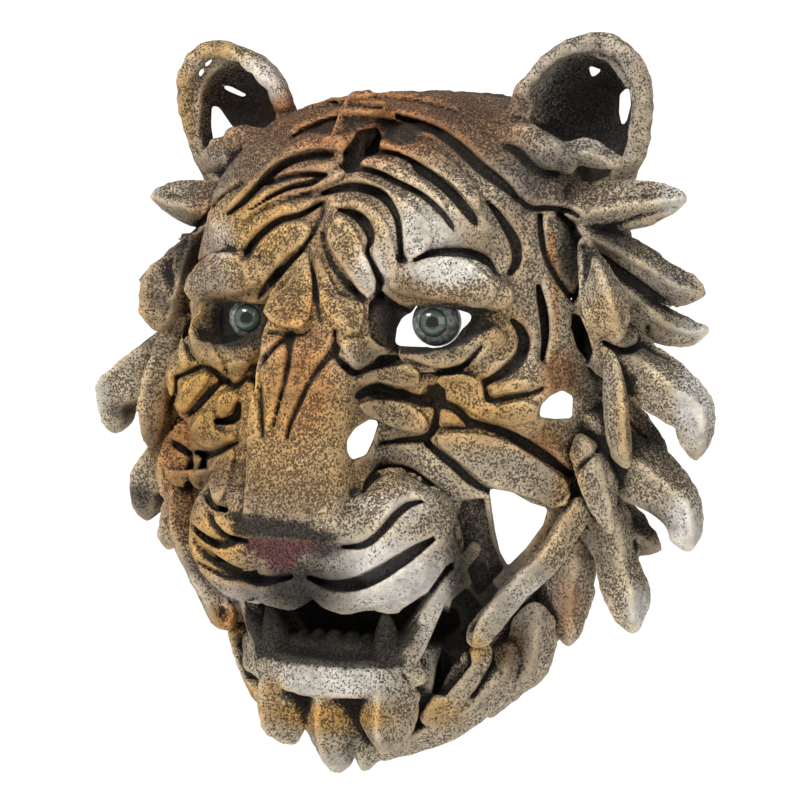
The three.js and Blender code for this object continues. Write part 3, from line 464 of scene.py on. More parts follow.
PLATES = {  # name: outline in pixels, height above the face, twin: raised scales with a rounded edge
    "forehead slab one": ([(341, 133), (347, 142), (354, 153), (349, 160), (338, 151), (322, 150), (305, 152),
        (292, 157), (280, 163), (270, 170), (262, 178), (250, 192), (236, 207), (224, 216), (227, 204),
        (240, 190), (250, 179), (262, 167), (272, 158), (283, 148), (300, 140), (320, 135)], 3.5, 0),
    "forehead slab two": ([(338, 160), (345, 165), (347, 173), (340, 180), (329, 184), (316, 190), (300, 194),
        (285, 197), (268, 204), (254, 213), (242, 222), (240, 212), (250, 200), (262, 190), (276, 181),
        (292, 171), (308, 164), (325, 160)], 3.0, 0),
    "forehead slab three": ([(300, 199), (319, 198), (311, 208), (300, 216), (285, 217), (274, 222), (262, 232),
        (252, 243), (247, 256), (239, 258), (236, 244), (243, 228), (258, 214), (278, 204)], 2.0, 0),
    "forehead slab four": ([(262, 238), (275, 227), (287, 221), (300, 220), (309, 224), (314, 232), (311, 240),
        (300, 247), (288, 257), (276, 270), (263, 287), (256, 294), (250, 284), (248, 266), (251, 250)], 3.5,
        0),
    "forehead slab five": ([(305, 249), (311, 263), (313, 285), (312, 305), (309, 318), (302, 327), (292, 330),
        (280, 327), (270, 321), (263, 312), (262, 298), (270, 288), (281, 275), (292, 262)], 4.0, 0),
    "forehead slab six": ([(318, 250), (324, 266), (331, 282), (339, 295), (350, 300), (361, 301), (364, 306),
        (363, 322), (359, 332), (346, 334), (338, 326), (328, 316), (319, 303), (315, 284), (314, 262)], 3.0,
        0),
    "forehead slab seven": ([(339, 213), (350, 222), (358, 235), (363, 249), (370, 262), (378, 279), (376, 291),
        (368, 299), (358, 292), (349, 279), (340, 264), (331, 251), (325, 242), (327, 230)], 4.0, 0),
    "forehead slab eight": ([(346, 200), (358, 198), (369, 203), (380, 213), (388, 226), (393, 241), (396, 256),
        (399, 268), (395, 277), (385, 279), (378, 272), (373, 258), (372, 244), (372, 229), (364, 217),
        (353, 210)], 3.0, 0),
    "forehead slab nine": ([(343, 176), (358, 174), (372, 179), (388, 187), (402, 197), (415, 208), (428, 222),
        (432, 240), (428, 254), (412, 260), (403, 258), (402, 240), (400, 222), (393, 208), (382, 196),
        (366, 187), (350, 184)], 2.5, 0),
    "forehead slab ten": ([(358, 158), (375, 156), (395, 163), (415, 174), (432, 186), (444, 200), (452, 216),
        (448, 220), (436, 208), (420, 197), (404, 187), (388, 178), (372, 171), (358, 167)], 3.5, 0),
    "forehead slab eleven": ([(380, 138), (386, 134), (402, 136), (422, 142), (440, 152), (456, 164),
        (470, 178), (479, 194), (482, 212), (474, 212), (464, 198), (450, 184), (434, 174), (418, 165),
        (400, 158), (384, 151), (378, 145)], 3.5, 0),
    "brow plate": ([(388, 284), (395, 274), (405, 264), (418, 258), (440, 255), (462, 257), (475, 264),
        (483, 272), (491, 279), (497, 290), (494, 300), (484, 307), (474, 308), (455, 303), (430, 300),
        (405, 296), (391, 290)], 3.0, 1),
    "plate one": ([(338, 340), (372, 337), (387, 345), (385, 358), (362, 367), (351, 370), (343, 358)], 2.0, 1),
    "plate two": ([(356, 380), (364, 372), (380, 366), (405, 364), (420, 371), (419, 386), (402, 390),
        (378, 384), (362, 388)], 3.5, 1),
    "plate three": ([(432, 384), (441, 375), (462, 373), (480, 380), (490, 390), (500, 413), (488, 423),
        (466, 410), (446, 402)], 4.0, 1),
    "plate four": ([(357, 404), (370, 399), (388, 398), (409, 401), (421, 412), (430, 423), (423, 436),
        (405, 432), (387, 425), (366, 415)], 4.5, 1),
    "plate five": ([(438, 407), (450, 408), (466, 419), (465, 425), (452, 426), (440, 424)], 1.5, 1),
    "plate six": ([(490, 384), (512, 378), (533, 380), (529, 391), (510, 394), (492, 397)], 3.0, 1),
    "plate seven": ([(490, 408), (508, 402), (524, 399), (539, 408), (537, 420), (510, 427), (486, 422)], 3.0,
        1),
    "plate eight": ([(436, 434), (452, 431), (481, 433), (512, 441), (540, 458), (566, 480), (571, 494),
        (566, 505), (552, 509), (538, 500), (512, 493), (488, 488), (471, 474), (450, 458), (437, 447)], 5.0,
        1),
    "far socket ring": ([(203, 300), (193, 312), (188, 330), (190, 348), (198, 358), (212, 368), (226, 378),
        (224, 364), (216, 354), (211, 340), (207, 322), (208, 306)], 3.0, 0),
    "far socket outer ring": ([(186, 318), (180, 335), (178, 352), (180, 368), (186, 374), (191, 366),
        (187, 352), (185, 338), (188, 324)], 2.5, 0),
    "far cheek leaf": ([(207, 370), (213, 377), (205, 388), (195, 400), (187, 412), (180, 414), (174, 406),
        (178, 394), (184, 382), (196, 373)], 4.0, 0),
    "far cheek block": ([(228, 362), (238, 360), (250, 361), (254, 366), (248, 374), (238, 382), (230, 382),
        (227, 372)], 3.0, 0),
    "far cheek small": ([(218, 395), (228, 388), (238, 390), (240, 400), (233, 410), (226, 420), (218, 418),
        (216, 406)], 3.0, 0),
    "far cheek low": ([(200, 412), (212, 410), (217, 418), (216, 428), (224, 432), (236, 432), (238, 440),
        (226, 445), (214, 450), (202, 448), (194, 438), (190, 428)], 3.0, 0),
    "nose side": ([(241, 380), (249, 376), (254, 388), (257, 405), (259, 430), (255, 445), (240, 448),
        (238, 430), (238, 405)], 1.5, 0),
    "far muzzle wing": ([(222, 452), (232, 446), (236, 452), (230, 470), (226, 490), (218, 506), (210, 500),
        (206, 485), (208, 468), (214, 456)], 3.0, 0),
}


def outline_distance(px, py, points):
    """Signed distance in pixels to a closed outline: least distance to an edge, negative inside."""
    p = np.asarray(points, np.float32)
    best = np.full(px.shape, 1e9, np.float32)
    inside = np.zeros(px.shape, bool)
    for a, b in zip(p, np.roll(p, -1, 0)):
        e = b - a
        wx, wy = px - a[0], py - a[1]
        t = np.clip((wx * e[0] + wy * e[1]) / (e @ e), 0, 1)
        best = np.minimum(best, (wx - t * e[0]) ** 2 + (wy - t * e[1]) ** 2)
        if a[1] != b[1]:
            crosses = (a[1] > py) != (b[1] > py)
            inside ^= crosses & (wx < e[0] * wy / e[1])
    return np.where(inside, -1, 1) * np.sqrt(best)


def stroke_level(px, py, rows):
    """How far out of a stroke pixels lie: distance to its line over its half width there, the least of its
    parts."""
    rows = spline(rows, 3)
    best = np.full(px.shape, 9.0, np.float32)
    for a, b in zip(rows[:-1], rows[1:]):
        e = b[:2] - a[:2]
        wx, wy = px - a[0], py - a[1]
        t = np.clip((wx * e[0] + wy * e[1]) / (e @ e + 1e-6), 0, 1)
        half = 0.5 * np.maximum(a[2] + (b[2] - a[2]) * t, 0.8)
        best = np.minimum(best, np.hypot(wx - t * e[0], wy - t * e[1]) / half)
    return best


class Skin:
    """The grid points near the surface that faces the camera, or its mirror image, with their pixels."""

    def __init__(self, sign):
        flat = FIELD.reshape(-1)
        at = np.flatnonzero(np.abs(flat) < 32)
        nf, nz = SHAPE[1], SHAPE[2]
        i, j, k = at // (nf * nz), (at // nz) % nf, at % nz
        keep = (i > 0) & (i < SHAPE[0] - 1) & (j > 0) & (j < nf - 1) & (k > 0) & (k < nz - 1)
        keep &= AXES[1][j] > 14
        if sign < 0:
            px, py = project(AXES[0][i], AXES[1][j], AXES[2][k])
            keep &= (AXES[0][i] < 6) & ~((px > 165) & (px < 262) & (py > 335) & (py < 470))
        at, i, j, k = at[keep], i[keep], j[keep], k[keep]
        face = (flat[at + nf * nz] - flat[at - nf * nz]) * BACK[0] * sign
        face += (flat[at + nz] - flat[at - nz]) * BACK[1] + (flat[at + 1] - flat[at - 1]) * BACK[2]
        seen = face > 0
        self.at, i, j, k = at[seen], i[seen], j[seen], k[seen]
        self.x, self.f, self.z = AXES[0][i], AXES[1][j], AXES[2][k]
        self.px, self.py = project(self.x * sign, self.f, self.z)
        self.base = flat[self.at].copy()
        self.sign = sign

    def pick(self, points, pad, deepest, highest):
        """The points of the list whose pixel lies near some points and whose depth is in range."""
        p = np.asarray(points, float)[:, :2]
        (x0, y0), (x1, y1) = p.min(0) - pad, p.max(0) + pad
        return np.flatnonzero((self.px > x0) & (self.px < x1) & (self.py > y0) & (self.py < y1)
                              & (self.base > -deepest) & (self.base < highest))


def chosen(table, twin_only):
    """Outline and amount of a table's entries, or of those alone that both sides of the head have."""
    return [(points, amount) for points, amount, twin in table.values() if twin or not twin_only]


def carve_all(skin, twin_only):
    """Lays the plates on, then sinks hollows and strokes, each a shape between a pixel outline and a depth."""
    flat = FIELD.reshape(-1)
    for points, height in chosen(PLATES, twin_only):
        s = skin.pick(points, 8, 9, height + 6)
        out = outline_distance(skin.px[s], skin.py[s], points) * PIXEL
        body = upper(out, skin.base[s] - height, 1.0)
        flat[skin.at[s]] = lower(flat[skin.at[s]], body.astype(np.float32), 1.0)
    for points, depth in chosen(HOLLOWS, twin_only):
        s = skin.pick(points, 8, depth + 5, 12)
        out = outline_distance(skin.px[s], skin.py[s], points) * PIXEL
        gone = upper(out, -(skin.base[s] + depth), 3.0)
        flat[skin.at[s]] = upper(flat[skin.at[s]], -gone.astype(np.float32), 1.5)
    for points, depth in chosen(STROKES, twin_only):
        s = skin.pick(points, 18, depth + 5, 12)
        level = stroke_level(skin.px[s], skin.py[s], points)
        half = 0.5 * PIXEL * max(r[2] for r in points)
        sunk = np.maximum(-skin.base[s], 0) / depth
        gone = ((level ** 2.6 + sunk ** 2.6) ** (1 / 2.6) - 1) * min(half, depth)
        shoulder = 0.22 * depth * np.exp(-(level * half / (half + 3.0)) ** 2)
        near = flat[skin.at[s]] + shoulder.astype(np.float32)
        flat[skin.at[s]] = upper(near, -gone.astype(np.float32), 1.2)


def pierce(points, near, far, sign):
    """Cuts straight through the casting along the camera's rays inside an outline."""
    spots = []
    o = np.array([0, AIM_FORWARD, 0]) + np.array(BACK) * FAR
    for px, py in np.asarray(points, float):
        d = np.array(RIGHT) * (px - MIDDLE) / FOCAL + np.array(UP) * (MIDDLE - py) / FOCAL - np.array(BACK)
        spots += [o + d * (f - o[1]) / d[1] for f in (near, far)]
    spots = np.array(spots)
    spots[:, 0] *= sign
    cut, x, f, z = window(spots.min(0) - 4, spots.max(0) + 4)
    px, py = project(x * sign, f, z)
    out = outline_distance(px, py, points) * PIXEL
    out = upper(upper(out, near - f, 2), f - far, 2)
    FIELD[cut] = upper(FIELD[cut], -out.astype(np.float32), 1.5)


FIELD += 1.3 * np.abs(noise_field(13.0, 3)) - 0.45
FIELD += 0.6 * noise_field(6.0, 4)
FIELD += 0.28 * noise_field(3.4, 5)
crown = np.clip((AXES[2] - 110) / 50, 0, 1)[None, None, :]
FIELD += 1.6 * crown * (np.abs(noise_field(9.0, 6)) - 0.4)
BASE = FIELD.copy()
carve_all(Skin(1), False)
carve_all(Skin(-1), True)

# ---------------------------------------------------------------------------------- hollows, sockets, mouth
cut, x, f, z = window(LOW, HIGH)
mouth = squared([x, f - MOUTH[1], z - MOUTH[2]], MOUTH_HALF, MOUTH_POWER)
hollow = np.maximum(np.maximum(HEAD + 10.0, FIELD + 8.0), -(mouth - 8.0))
FIELD[:] = upper(FIELD, -hollow, 2.0)
FIELD[:] = upper(FIELD, -mouth, 3.0)
del hollow, mouth
for sign in (1, -1):
    cut, x, f, z = window((EYE[0] * sign - 30, 86, 22), (EYE[0] * sign + 30, 150, 82))
    seat = squared([x - EYE[0] * sign, f - EYE[1], z - EYE[2]], (EYE_SEAT,) * 3, 2.0)
    FIELD[cut] = upper(FIELD[cut], -seat, 1.0)
    cut, x, f, z = window((80 * sign - 34, 84, 22), (80 * sign + 34, 150, 82))
    bowl = squared([x - 70, f - 120, z - 52], (6, 6, 6), 2.0) if sign > 0 else \
        squared([x + 75, f - 120, z - 48], (26, 22, 15.5), 2.0)
    FIELD[cut] = upper(FIELD[cut], -np.maximum(bowl, z - 60), 1.5)
for points, near, far, twin in HOLES.values():
    pierce(points, near, far, 1)
    if twin:
        pierce(points, near, far, -1)
# thin strut at the corner of the mouth, gum and teeth
add_rod([(84, 112, -80, 5, 6), (79, 120, -90, 4.5, 6), (66, 122, -108, 6, 7), (50, 126, -136, 10, 8),
         (43, 128, -149, 9, 8)], k=1.5, power=1.5, crest=0.2)
add_rod([(-46, 112, -142, 7, 7), (-26, 127, -141, 7, 7), (0, 131, -141, 7, 7), (26, 127, -141, 7, 7),
         (46, 112, -142, 7, 7)], k=3, power=2, sides=False)
add_rod([(37, 131, -143, 9.5, 8), (38, 133, -131, 7.5, 7), (39, 136, -119, 3, 3)], k=2, power=1.8)
for x, size in ((-20, 4.4), (-9, 5.2), (2, 5.6), (13, 5.2), (23, 4.4)):
    add_ball((x, 131 - abs(x) * 0.15, -136), (size, 4.6, size + 0.6), k=1.5, sides=False)
# the wall is made thicker behind three deep grooves
for middle in ((9, 131, 24), (-61, 118, 22), (-64, 109, -129)):
    add_ball(middle, (6, 6, 7), k=2, sides=False)
# hanging pad at the crown, and the flat wall side
cut, x, f, z = window((-42, -4, 156), (42, 22, 194))
pad = squared([x, f - 7, z - 175], (35, 7, 12), 8.0)
FIELD[cut] = lower(FIELD[cut], pad, 2.0)
FIELD[:] = np.maximum(FIELD, -AXES[1][None, :, None])


# ---------------------------------------------------------------------------------- surface of the field
def net(field):
    """Surface net: one corner in each cell that the surface crosses, at the mean of its edge crossings, and
    one four sided face around each grid edge that it crosses, turned outward."""
    inside = field < 0
    count = np.zeros([n - 1 for n in field.shape], np.int8)
    for a, b, c in CORNERS:
        count += inside[a:a + count.shape[0], b:b + count.shape[1], c:c + count.shape[2]]
    cells = np.argwhere((count > 0) & (count < 8))
    ids = np.full(count.shape, -1, np.int32)
    ids[tuple(cells.T)] = np.arange(len(cells))
    total, hits = np.zeros((len(cells), 3)), np.zeros(len(cells))
    for corner in CORNERS:
        for axis in range(3):
            if corner[axis]:
                continue
            a = cells + corner
            b = a.copy()
            b[:, axis] += 1
            va, vb = field[tuple(a.T)], field[tuple(b.T)]
            on = (va < 0) != (vb < 0)
            t = va[on] / (va[on] - vb[on])
            spot = np.tile(np.array(corner, float), (on.sum(), 1))
            spot[:, axis] += t
            total[on] += spot
            hits[on] += 1
    places = (cells + total / hits[:, None]) * STEP + ORIGIN
    faces = []
    for axis in range(3):
        a = [slice(1, -1)] * 3
        b = list(a)
        a[axis], b[axis] = slice(0, -1), slice(1, None)
        start, end = inside[tuple(a)], inside[tuple(b)]
        shift = np.array([0 if i == axis else 1 for i in range(3)])
        u, v = [np.eye(3, dtype=int)[i] for i in range(3) if i != axis]
        for leaving, mask in ((True, start & ~end), (False, ~start & end)):
            p = np.argwhere(mask) + shift
            ring = [p, p - u, p - u - v, p - v]
            if leaving == (axis == 1):
                ring = ring[::-1]
            faces.append(np.stack([ids[tuple(r.T)] for r in ring], 1))
    return places, np.vstack(faces)


def sample(field, places):
    """Value of a grid at drawn places, in straight lines between its points."""
    t = (places - ORIGIN) / STEP
    t = np.clip(t, 0, np.array(field.shape) - 1.001)
    i = t.astype(int)
    w = t - i
    out = np.zeros(len(places))
    for corner in CORNERS:
        weight = np.prod(np.where(corner, w, 1 - w), axis=1)
        out += weight * field[tuple((i + corner).T)]
    return out


def blurred(share, reach):
    """Mean over a cube that reaches so many millimetres each way, by running sums along each axis."""
    n = max(1, int(round(reach / STEP)))
    for axis in range(3):
        width = [(n + 1, n) if a == axis else (0, 0) for a in range(3)]
        run = np.cumsum(np.pad(share, width, mode="edge"), axis=axis, dtype=np.float64)
        size = share.shape[axis]
        share = ((np.take(run, range(2 * n + 1, 2 * n + 1 + size), axis)
                  - np.take(run, range(size), axis)) / (2 * n + 1)).astype(np.float32)
    return share


def new_mesh(name, places, faces):
    """A mesh object in metres from drawn places, its origin at the origin of the part."""
    mesh = bpy.data.meshes.new(name)
    spots = np.column_stack([places[:, 0], -places[:, 1], places[:, 2] - HANG]) * 0.001
    mesh.vertices.add(len(spots))
    mesh.vertices.foreach_set("co", spots.astype(np.float32).ravel())
    sides = faces.shape[1]
    mesh.loops.add(faces.size)
    mesh.polygons.add(len(faces))
    mesh.loops.foreach_set("vertex_index", faces.astype(np.int32).ravel())
    mesh.polygons.foreach_set("loop_start", np.arange(0, faces.size, sides, dtype=np.int32))
    mesh.update(calc_edges=True)
    mesh.validate()
    obj = bpy.data.objects.new(name, mesh)
    bpy.context.scene.collection.objects.link(obj)
    return obj


def rounded(mesh):
    """Shades a mesh smoothly."""
    mesh.polygons.foreach_set("use_smooth", np.ones(len(mesh.polygons), bool))


def drawn(obj):
    """Drawn places of an object's corners."""
    spots = np.empty(len(obj.data.vertices) * 3, np.float32)
    obj.data.vertices.foreach_get("co", spots)
    spots = spots.reshape(-1, 3).astype(float) * 1000
    return np.column_stack([spots[:, 0], -spots[:, 1], spots[:, 2] + HANG])


places, faces = net(FIELD)
tiger = new_mesh("tiger_casting", places, faces)
thin = tiger.modifiers.new("fewer faces", "DECIMATE")
thin.ratio = min(1.0, MOST_FACES / (2 * len(faces)))
graph = bpy.context.evaluated_depsgraph_get()
less = bpy.data.meshes.new_from_object(tiger.evaluated_get(graph))
tiger.modifiers.clear()
tiger.data = less
less.name = "tiger_casting"
rounded(less)
places = drawn(tiger)

# ---------------------------------------------------------------------------------- paint
share = np.clip(0.5 - FIELD / (2 * STEP), 0, 1).astype(np.float32)
fine = sample(blurred(share, 2.6), places) - 0.5
broad = sample(blurred(blurred(share, 9.0), 6.0), places) - 0.5
sunk = np.clip(sample(BASE, places), -12, 6)
del share

PALETTE = {  # as the eye sees them, from 0 to 1
    "bone": (0.84, 0.78, 0.68), "white": (0.93, 0.92, 0.90), "grey": (0.72, 0.70, 0.68),
    "ochre": (0.88, 0.70, 0.40), "rust": (0.76, 0.52, 0.31), "brown": (0.56, 0.43, 0.31),
    "pink": (0.50, 0.31, 0.31), "coal": (0.17, 0.16, 0.16), "tan": (0.81, 0.69, 0.50),
    "orange": (0.85, 0.56, 0.25),
}
# Airbrushed places, some of them painted shade: colour, pixel x, pixel y, reach across, reach up, strength, and
# 1 where both sides of the head have it, as seen from the near one, or 0 where it is read as the picture shows
# it.
# The brown under the brow plate is painted shade; the coal between the locks, on the crown's right side and
# along the far side's lock gaps is dark wash and painted shade together.
PAINT_AND_SHADE_SPOTS = [
    ("tan", 400, 300, 150, 150, 0.55, 1), ("ochre", 300, 300, 130, 150, 0.35, 0),
    ("rust", 370, 118, 200, 60, 0.9, 0), ("rust", 300, 185, 80, 40, 0.35, 0),
    ("brown", 470, 125, 90, 46, 0.5, 0), ("brown", 250, 160, 70, 60, 0.6, 0),
    ("rust", 205, 235, 22, 50, 0.7, 0), ("brown", 300, 108, 70, 26, 0.4, 0),
    ("ochre", 255, 225, 55, 45, 0.7, 0), ("ochre", 300, 300, 45, 45, 0.5, 0),
    ("brown", 318, 235, 14, 60, 0.6, 0), ("white", 425, 235, 45, 45, 0.75, 0),
    ("white", 450, 270, 50, 20, 0.95, 0), ("brown", 405, 290, 30, 12, 0.6, 1),
    ("white", 372, 272, 26, 34, 0.7, 0), ("white", 215, 240, 26, 30, 0.5, 0),
    ("grey", 210, 280, 30, 20, 0.5, 0), ("bone", 500, 250, 30, 60, 0.4, 1),
    ("brown", 520, 240, 24, 60, 0.35, 1), ("ochre", 505, 330, 30, 40, 0.45, 1),
    ("ochre", 470, 400, 90, 42, 0.75, 1), ("orange", 560, 375, 26, 34, 0.6, 1),
    ("ochre", 190, 420, 60, 90, 0.8, 0), ("brown", 215, 450, 34, 60, 0.6, 0),
    ("brown", 562, 440, 34, 40, 0.4, 1), ("orange", 545, 445, 26, 20, 0.5, 1),
    ("rust", 290, 400, 55, 70, 0.75, 0), ("ochre", 250, 430, 40, 90, 0.55, 0),
    ("brown", 290, 490, 70, 40, 0.55, 0), ("ochre", 340, 450, 30, 60, 0.35, 0),
    ("grey", 360, 360, 40, 18, 0.5, 1), ("white", 385, 575, 75, 48, 0.95, 0),
    ("white", 400, 500, 40, 30, 0.5, 0), ("ochre", 385, 480, 50, 22, 0.45, 0),
    ("ochre", 215, 540, 50, 50, 0.85, 0), ("orange", 230, 612, 22, 22, 0.8, 0),
    ("white", 245, 597, 34, 16, 0.7, 0), ("white", 335, 680, 84, 24, 0.8, 0),
    ("ochre", 272, 690, 16, 18, 0.7, 0), ("white", 440, 625, 30, 60, 0.6, 0),
    ("ochre", 335, 715, 72, 20, 0.9, 0), ("white", 330, 765, 50, 14, 0.6, 0),
    ("ochre", 570, 480, 20, 40, 0.5, 1), ("bone", 620, 320, 40, 90, 0.5, 1),
    ("ochre", 625, 420, 14, 60, 0.45, 1), ("white", 696, 400, 26, 60, 0.95, 1),
    ("white", 684, 530, 26, 44, 0.98, 1), ("white", 676, 200, 24, 26, 0.8, 1),
    ("white", 700, 328, 30, 16, 0.8, 1), ("grey", 660, 285, 44, 22, 0.6, 1),
    ("white", 640, 610, 16, 30, 0.9, 1), ("rust", 565, 605, 24, 36, 0.6, 1),
    ("ochre", 605, 320, 26, 34, 0.45, 1), ("ochre", 550, 530, 40, 40, 0.3, 1),
    ("white", 520, 600, 50, 40, 0.4, 1), ("ochre", 478, 650, 14, 18, 0.7, 1),
    ("ochre", 440, 712, 30, 20, 0.7, 1), ("brown", 512, 650, 22, 34, 0.7, 1),
    ("bone", 530, 680, 20, 26, 0.5, 1), ("grey", 590, 100, 80, 80, 0.8, 0), ("bone", 640, 110, 16, 60, 0.7, 0),
    ("white", 262, 80, 34, 24, 0.7, 0), ("ochre", 183, 110, 14, 70, 0.6, 0), ("ochre", 215, 48, 44, 14, 0.6, 0),
    ("brown", 215, 90, 26, 26, 0.6, 0), ("grey", 545, 180, 50, 40, 0.6, 1), ("brown", 150, 260, 60, 50, 0.5, 0),
    ("rust", 172, 440, 30, 50, 0.6, 0), ("rust", 178, 500, 26, 40, 0.5, 0), ("coal", 568, 255, 17, 42, 0.85, 1),
    ("orange", 551, 250, 4, 30, 0.8, 1), ("orange", 556, 300, 5, 60, 0.6, 1),
    ("coal", 500, 550, 26, 60, 0.65, 1), ("coal", 600, 420, 10, 90, 0.3, 1),
    ("coal", 300, 586, 66, 36, 0.95, 0), ("coal", 324, 549, 28, 13, 0.9, 0),
    ("brown", 245, 575, 30, 26, 0.6, 0), ("brown", 560, 190, 60, 40, 0.4, 1),
    ("coal", 443, 655, 15, 42, 0.85, 1), ("coal", 456, 577, 14, 26, 0.6, 0), ("coal", 384, 322, 18, 26, 0.9, 1),
    # painted shade: brown under the brow plate's overhang; coal on the crown's right and between the locks is
    # wash and shade
    ("brown", 440, 300, 44, 8, 0.7, 1), ("coal", 438, 352, 44, 7, 0.6, 1), ("coal", 520, 190, 36, 44, 0.35, 0),
    ("coal", 456, 112, 34, 22, 0.3, 0), ("brown", 470, 150, 50, 34, 0.5, 0),
    ("coal", 540, 165, 60, 22, 0.45, 0), ("coal", 612, 246, 36, 26, 0.6, 1), ("coal", 462, 560, 20, 60, 0.8, 0),
    ("coal", 656, 302, 26, 10, 0.6, 1), ("coal", 640, 350, 26, 18, 0.5, 1), ("coal", 655, 436, 30, 16, 0.75, 1),
    ("coal", 650, 522, 26, 16, 0.75, 1), ("coal", 650, 540, 14, 30, 0.5, 1), ("coal", 575, 380, 18, 30, 0.4, 1),
    ("ochre", 300, 430, 80, 100, 0.45, 0), ("orange", 300, 330, 50, 40, 0.3, 0),
    ("rust", 310, 380, 40, 60, 0.4, 0), ("ochre", 480, 430, 90, 30, 0.5, 1),
    ("ochre", 330, 720, 80, 18, 0.7, 1), ("coal", 350, 748, 9, 22, 0.6, 0), ("coal", 152, 345, 16, 12, 0.6, 0),
    ("coal", 160, 300, 16, 12, 0.5, 0), ("coal", 156, 440, 18, 22, 0.5, 0),
]


def linear(colour):
    """Light amounts of a colour given as the eye sees it."""
    c = np.asarray(colour, float)
    return np.where(c <= 0.04045, c / 12.92, ((c + 0.055) / 1.055) ** 2.4)


def smooth_step(v, a, b):
    """Nought below a, one above b, eased between."""
    t = np.clip((v - a) / (b - a), 0, 1)
    return t * t * (3 - 2 * t)


def within(at, points, full, none):
    """One inside an outline of pixels and nought outside it, eased between two distances to its edge."""
    px, py = (p.astype(np.float32) for p in at)
    return 1 - smooth_step(outline_distance(px, py, points), full, none)


x, f, z = places.T
seen, twin = project(x, f, z), project(np.abs(x), f, z)
paint = np.tile(linear(PALETTE["bone"]), (len(places), 1))
white_share, warm = np.zeros(len(places)), np.zeros(len(places))
for name, px, py, rx, ry, strength, both_sides in PAINT_AND_SHADE_SPOTS:
    at = twin if both_sides else seen
    r = np.hypot((at[0] - px) / rx, (at[1] - py) / ry)
    amount = strength * (1 - smooth_step(r, 0.35, 1.15))
    paint = paint * (1 - amount)[:, None] + linear(PALETTE[name]) * amount[:, None]
    white_share = white_share * (1 - amount) + (name == "white") * amount
    warm = warm * (1 - amount) + (name in ("rust", "brown", "orange")) * amount
# the nose, the shadow under it, the mouth, the sides of the throat and the rims of the eyes
pink = within(seen, [(231, 538), (262, 536), (330, 541), (305, 552), (291, 572), (276, 570), (257, 556)],
              -3, 3) * (f > 150)
band = within(seen, [(228, 512), (262, 514), (300, 520), (345, 536), (330, 543), (232, 537)], -4, 3) * (f > 150)
ledge = smooth_step(z, -152, -148) * (z < -125) * (np.abs(x) < 50)
ledge *= (f > 90) & (f < 152)
mouth = squared([x, f - MOUTH[1], z - MOUTH[2]], MOUTH_HALF, MOUTH_POWER)
mouth_dark = ledge + (1 - smooth_step(mouth, 0.5, 5)) * (f < 143)
deep = within(twin, [(446, 590), (470, 560), (500, 590), (484, 625), (466, 660), (440, 700), (424, 735),
                     (408, 735), (405, 690), (425, 650)], -4, 6) * (1 - smooth_step(f, 98, 106))
rim = within(twin, HOLES["eye opening"][0], 4, 11) * (f > 60)
lids = squared([np.abs(x) - 74, f - 114, z - 50], (20, 26, 17), 2.0)
rim = np.maximum(rim * 0.9, 1 - smooth_step(lids, -2, 4))
paint = paint * (1 - pink[:, None]) + linear(PALETTE["pink"]) * pink[:, None]
# how dark each place is made: dark wash in the grooves, black paint at the eye rims and the lip under the
# teeth, black paint and painted shade in the mouth and its deep corner, dark wash and painted shade in caves
# and creases, painted shade inside the shell, towards the wall and on what faces down, the painted shadow under
# the nose, and darker in the ears' cups
normal = np.empty(len(places) * 3, np.float32)
tiger.data.vertices.foreach_get("normal", normal)
facing_down = -normal.reshape(-1, 3)[:, 2].astype(float)
groove = smooth_step(-sunk, 2.0, 6.0)
cave = smooth_step(broad, -0.005, 0.15)
inner = smooth_step(sample(HEAD, places), -6, -9)
back = smooth_step(-f, -26, -6)
cups = [squared(ear_offsets(x, f, z, sign), EAR_INSIDE, 2.0) for sign in (1, -1)]
cup = (1 - smooth_step(np.minimum(*cups), 0.6, 2.5)) * (1 - smooth_step(f, 26, 44))
dark = (0.65 * groove + cave + 0.5 * smooth_step(fine, 0.05, 0.20) + 0.9 * band + mouth_dark + 0.85 * rim
        + 0.95 * deep + 0.55 * inner + 0.4 * back + 0.75 * cup + 0.5 * smooth_step(facing_down, 0.0, 0.85))
dark = np.clip(dark, 0, 1)
edge = smooth_step(-fine, 0.035, 0.13) * (1 - 0.8 * cave)
# how many dark specks: fewer on white paint and worn edges, more in caves and on what faces down as painted
# shade
speck_and_shade = np.clip(0.54 - 0.22 * white_share - 0.24 * edge + 0.20 * cave + 0.14 * facing_down, 0.05, 0.95)


def attribute(obj, name, values, kind="FLOAT"):
    """Stores one value or colour for each corner of a mesh."""
    a = obj.data.attributes.new(name, kind, "POINT")
    if kind == "FLOAT":
        a.data.foreach_set("value", values.astype(np.float32))
    else:
        rgba = np.column_stack([values, np.ones(len(values))])
        a.data.foreach_set("color", rgba.astype(np.float32).ravel())


attribute(tiger, "paint", paint, "FLOAT_COLOR")
for name, values in (("dark", dark), ("edge", edge), ("speck_and_shade", speck_and_shade), ("warm", warm)):
    attribute(tiger, name, values)


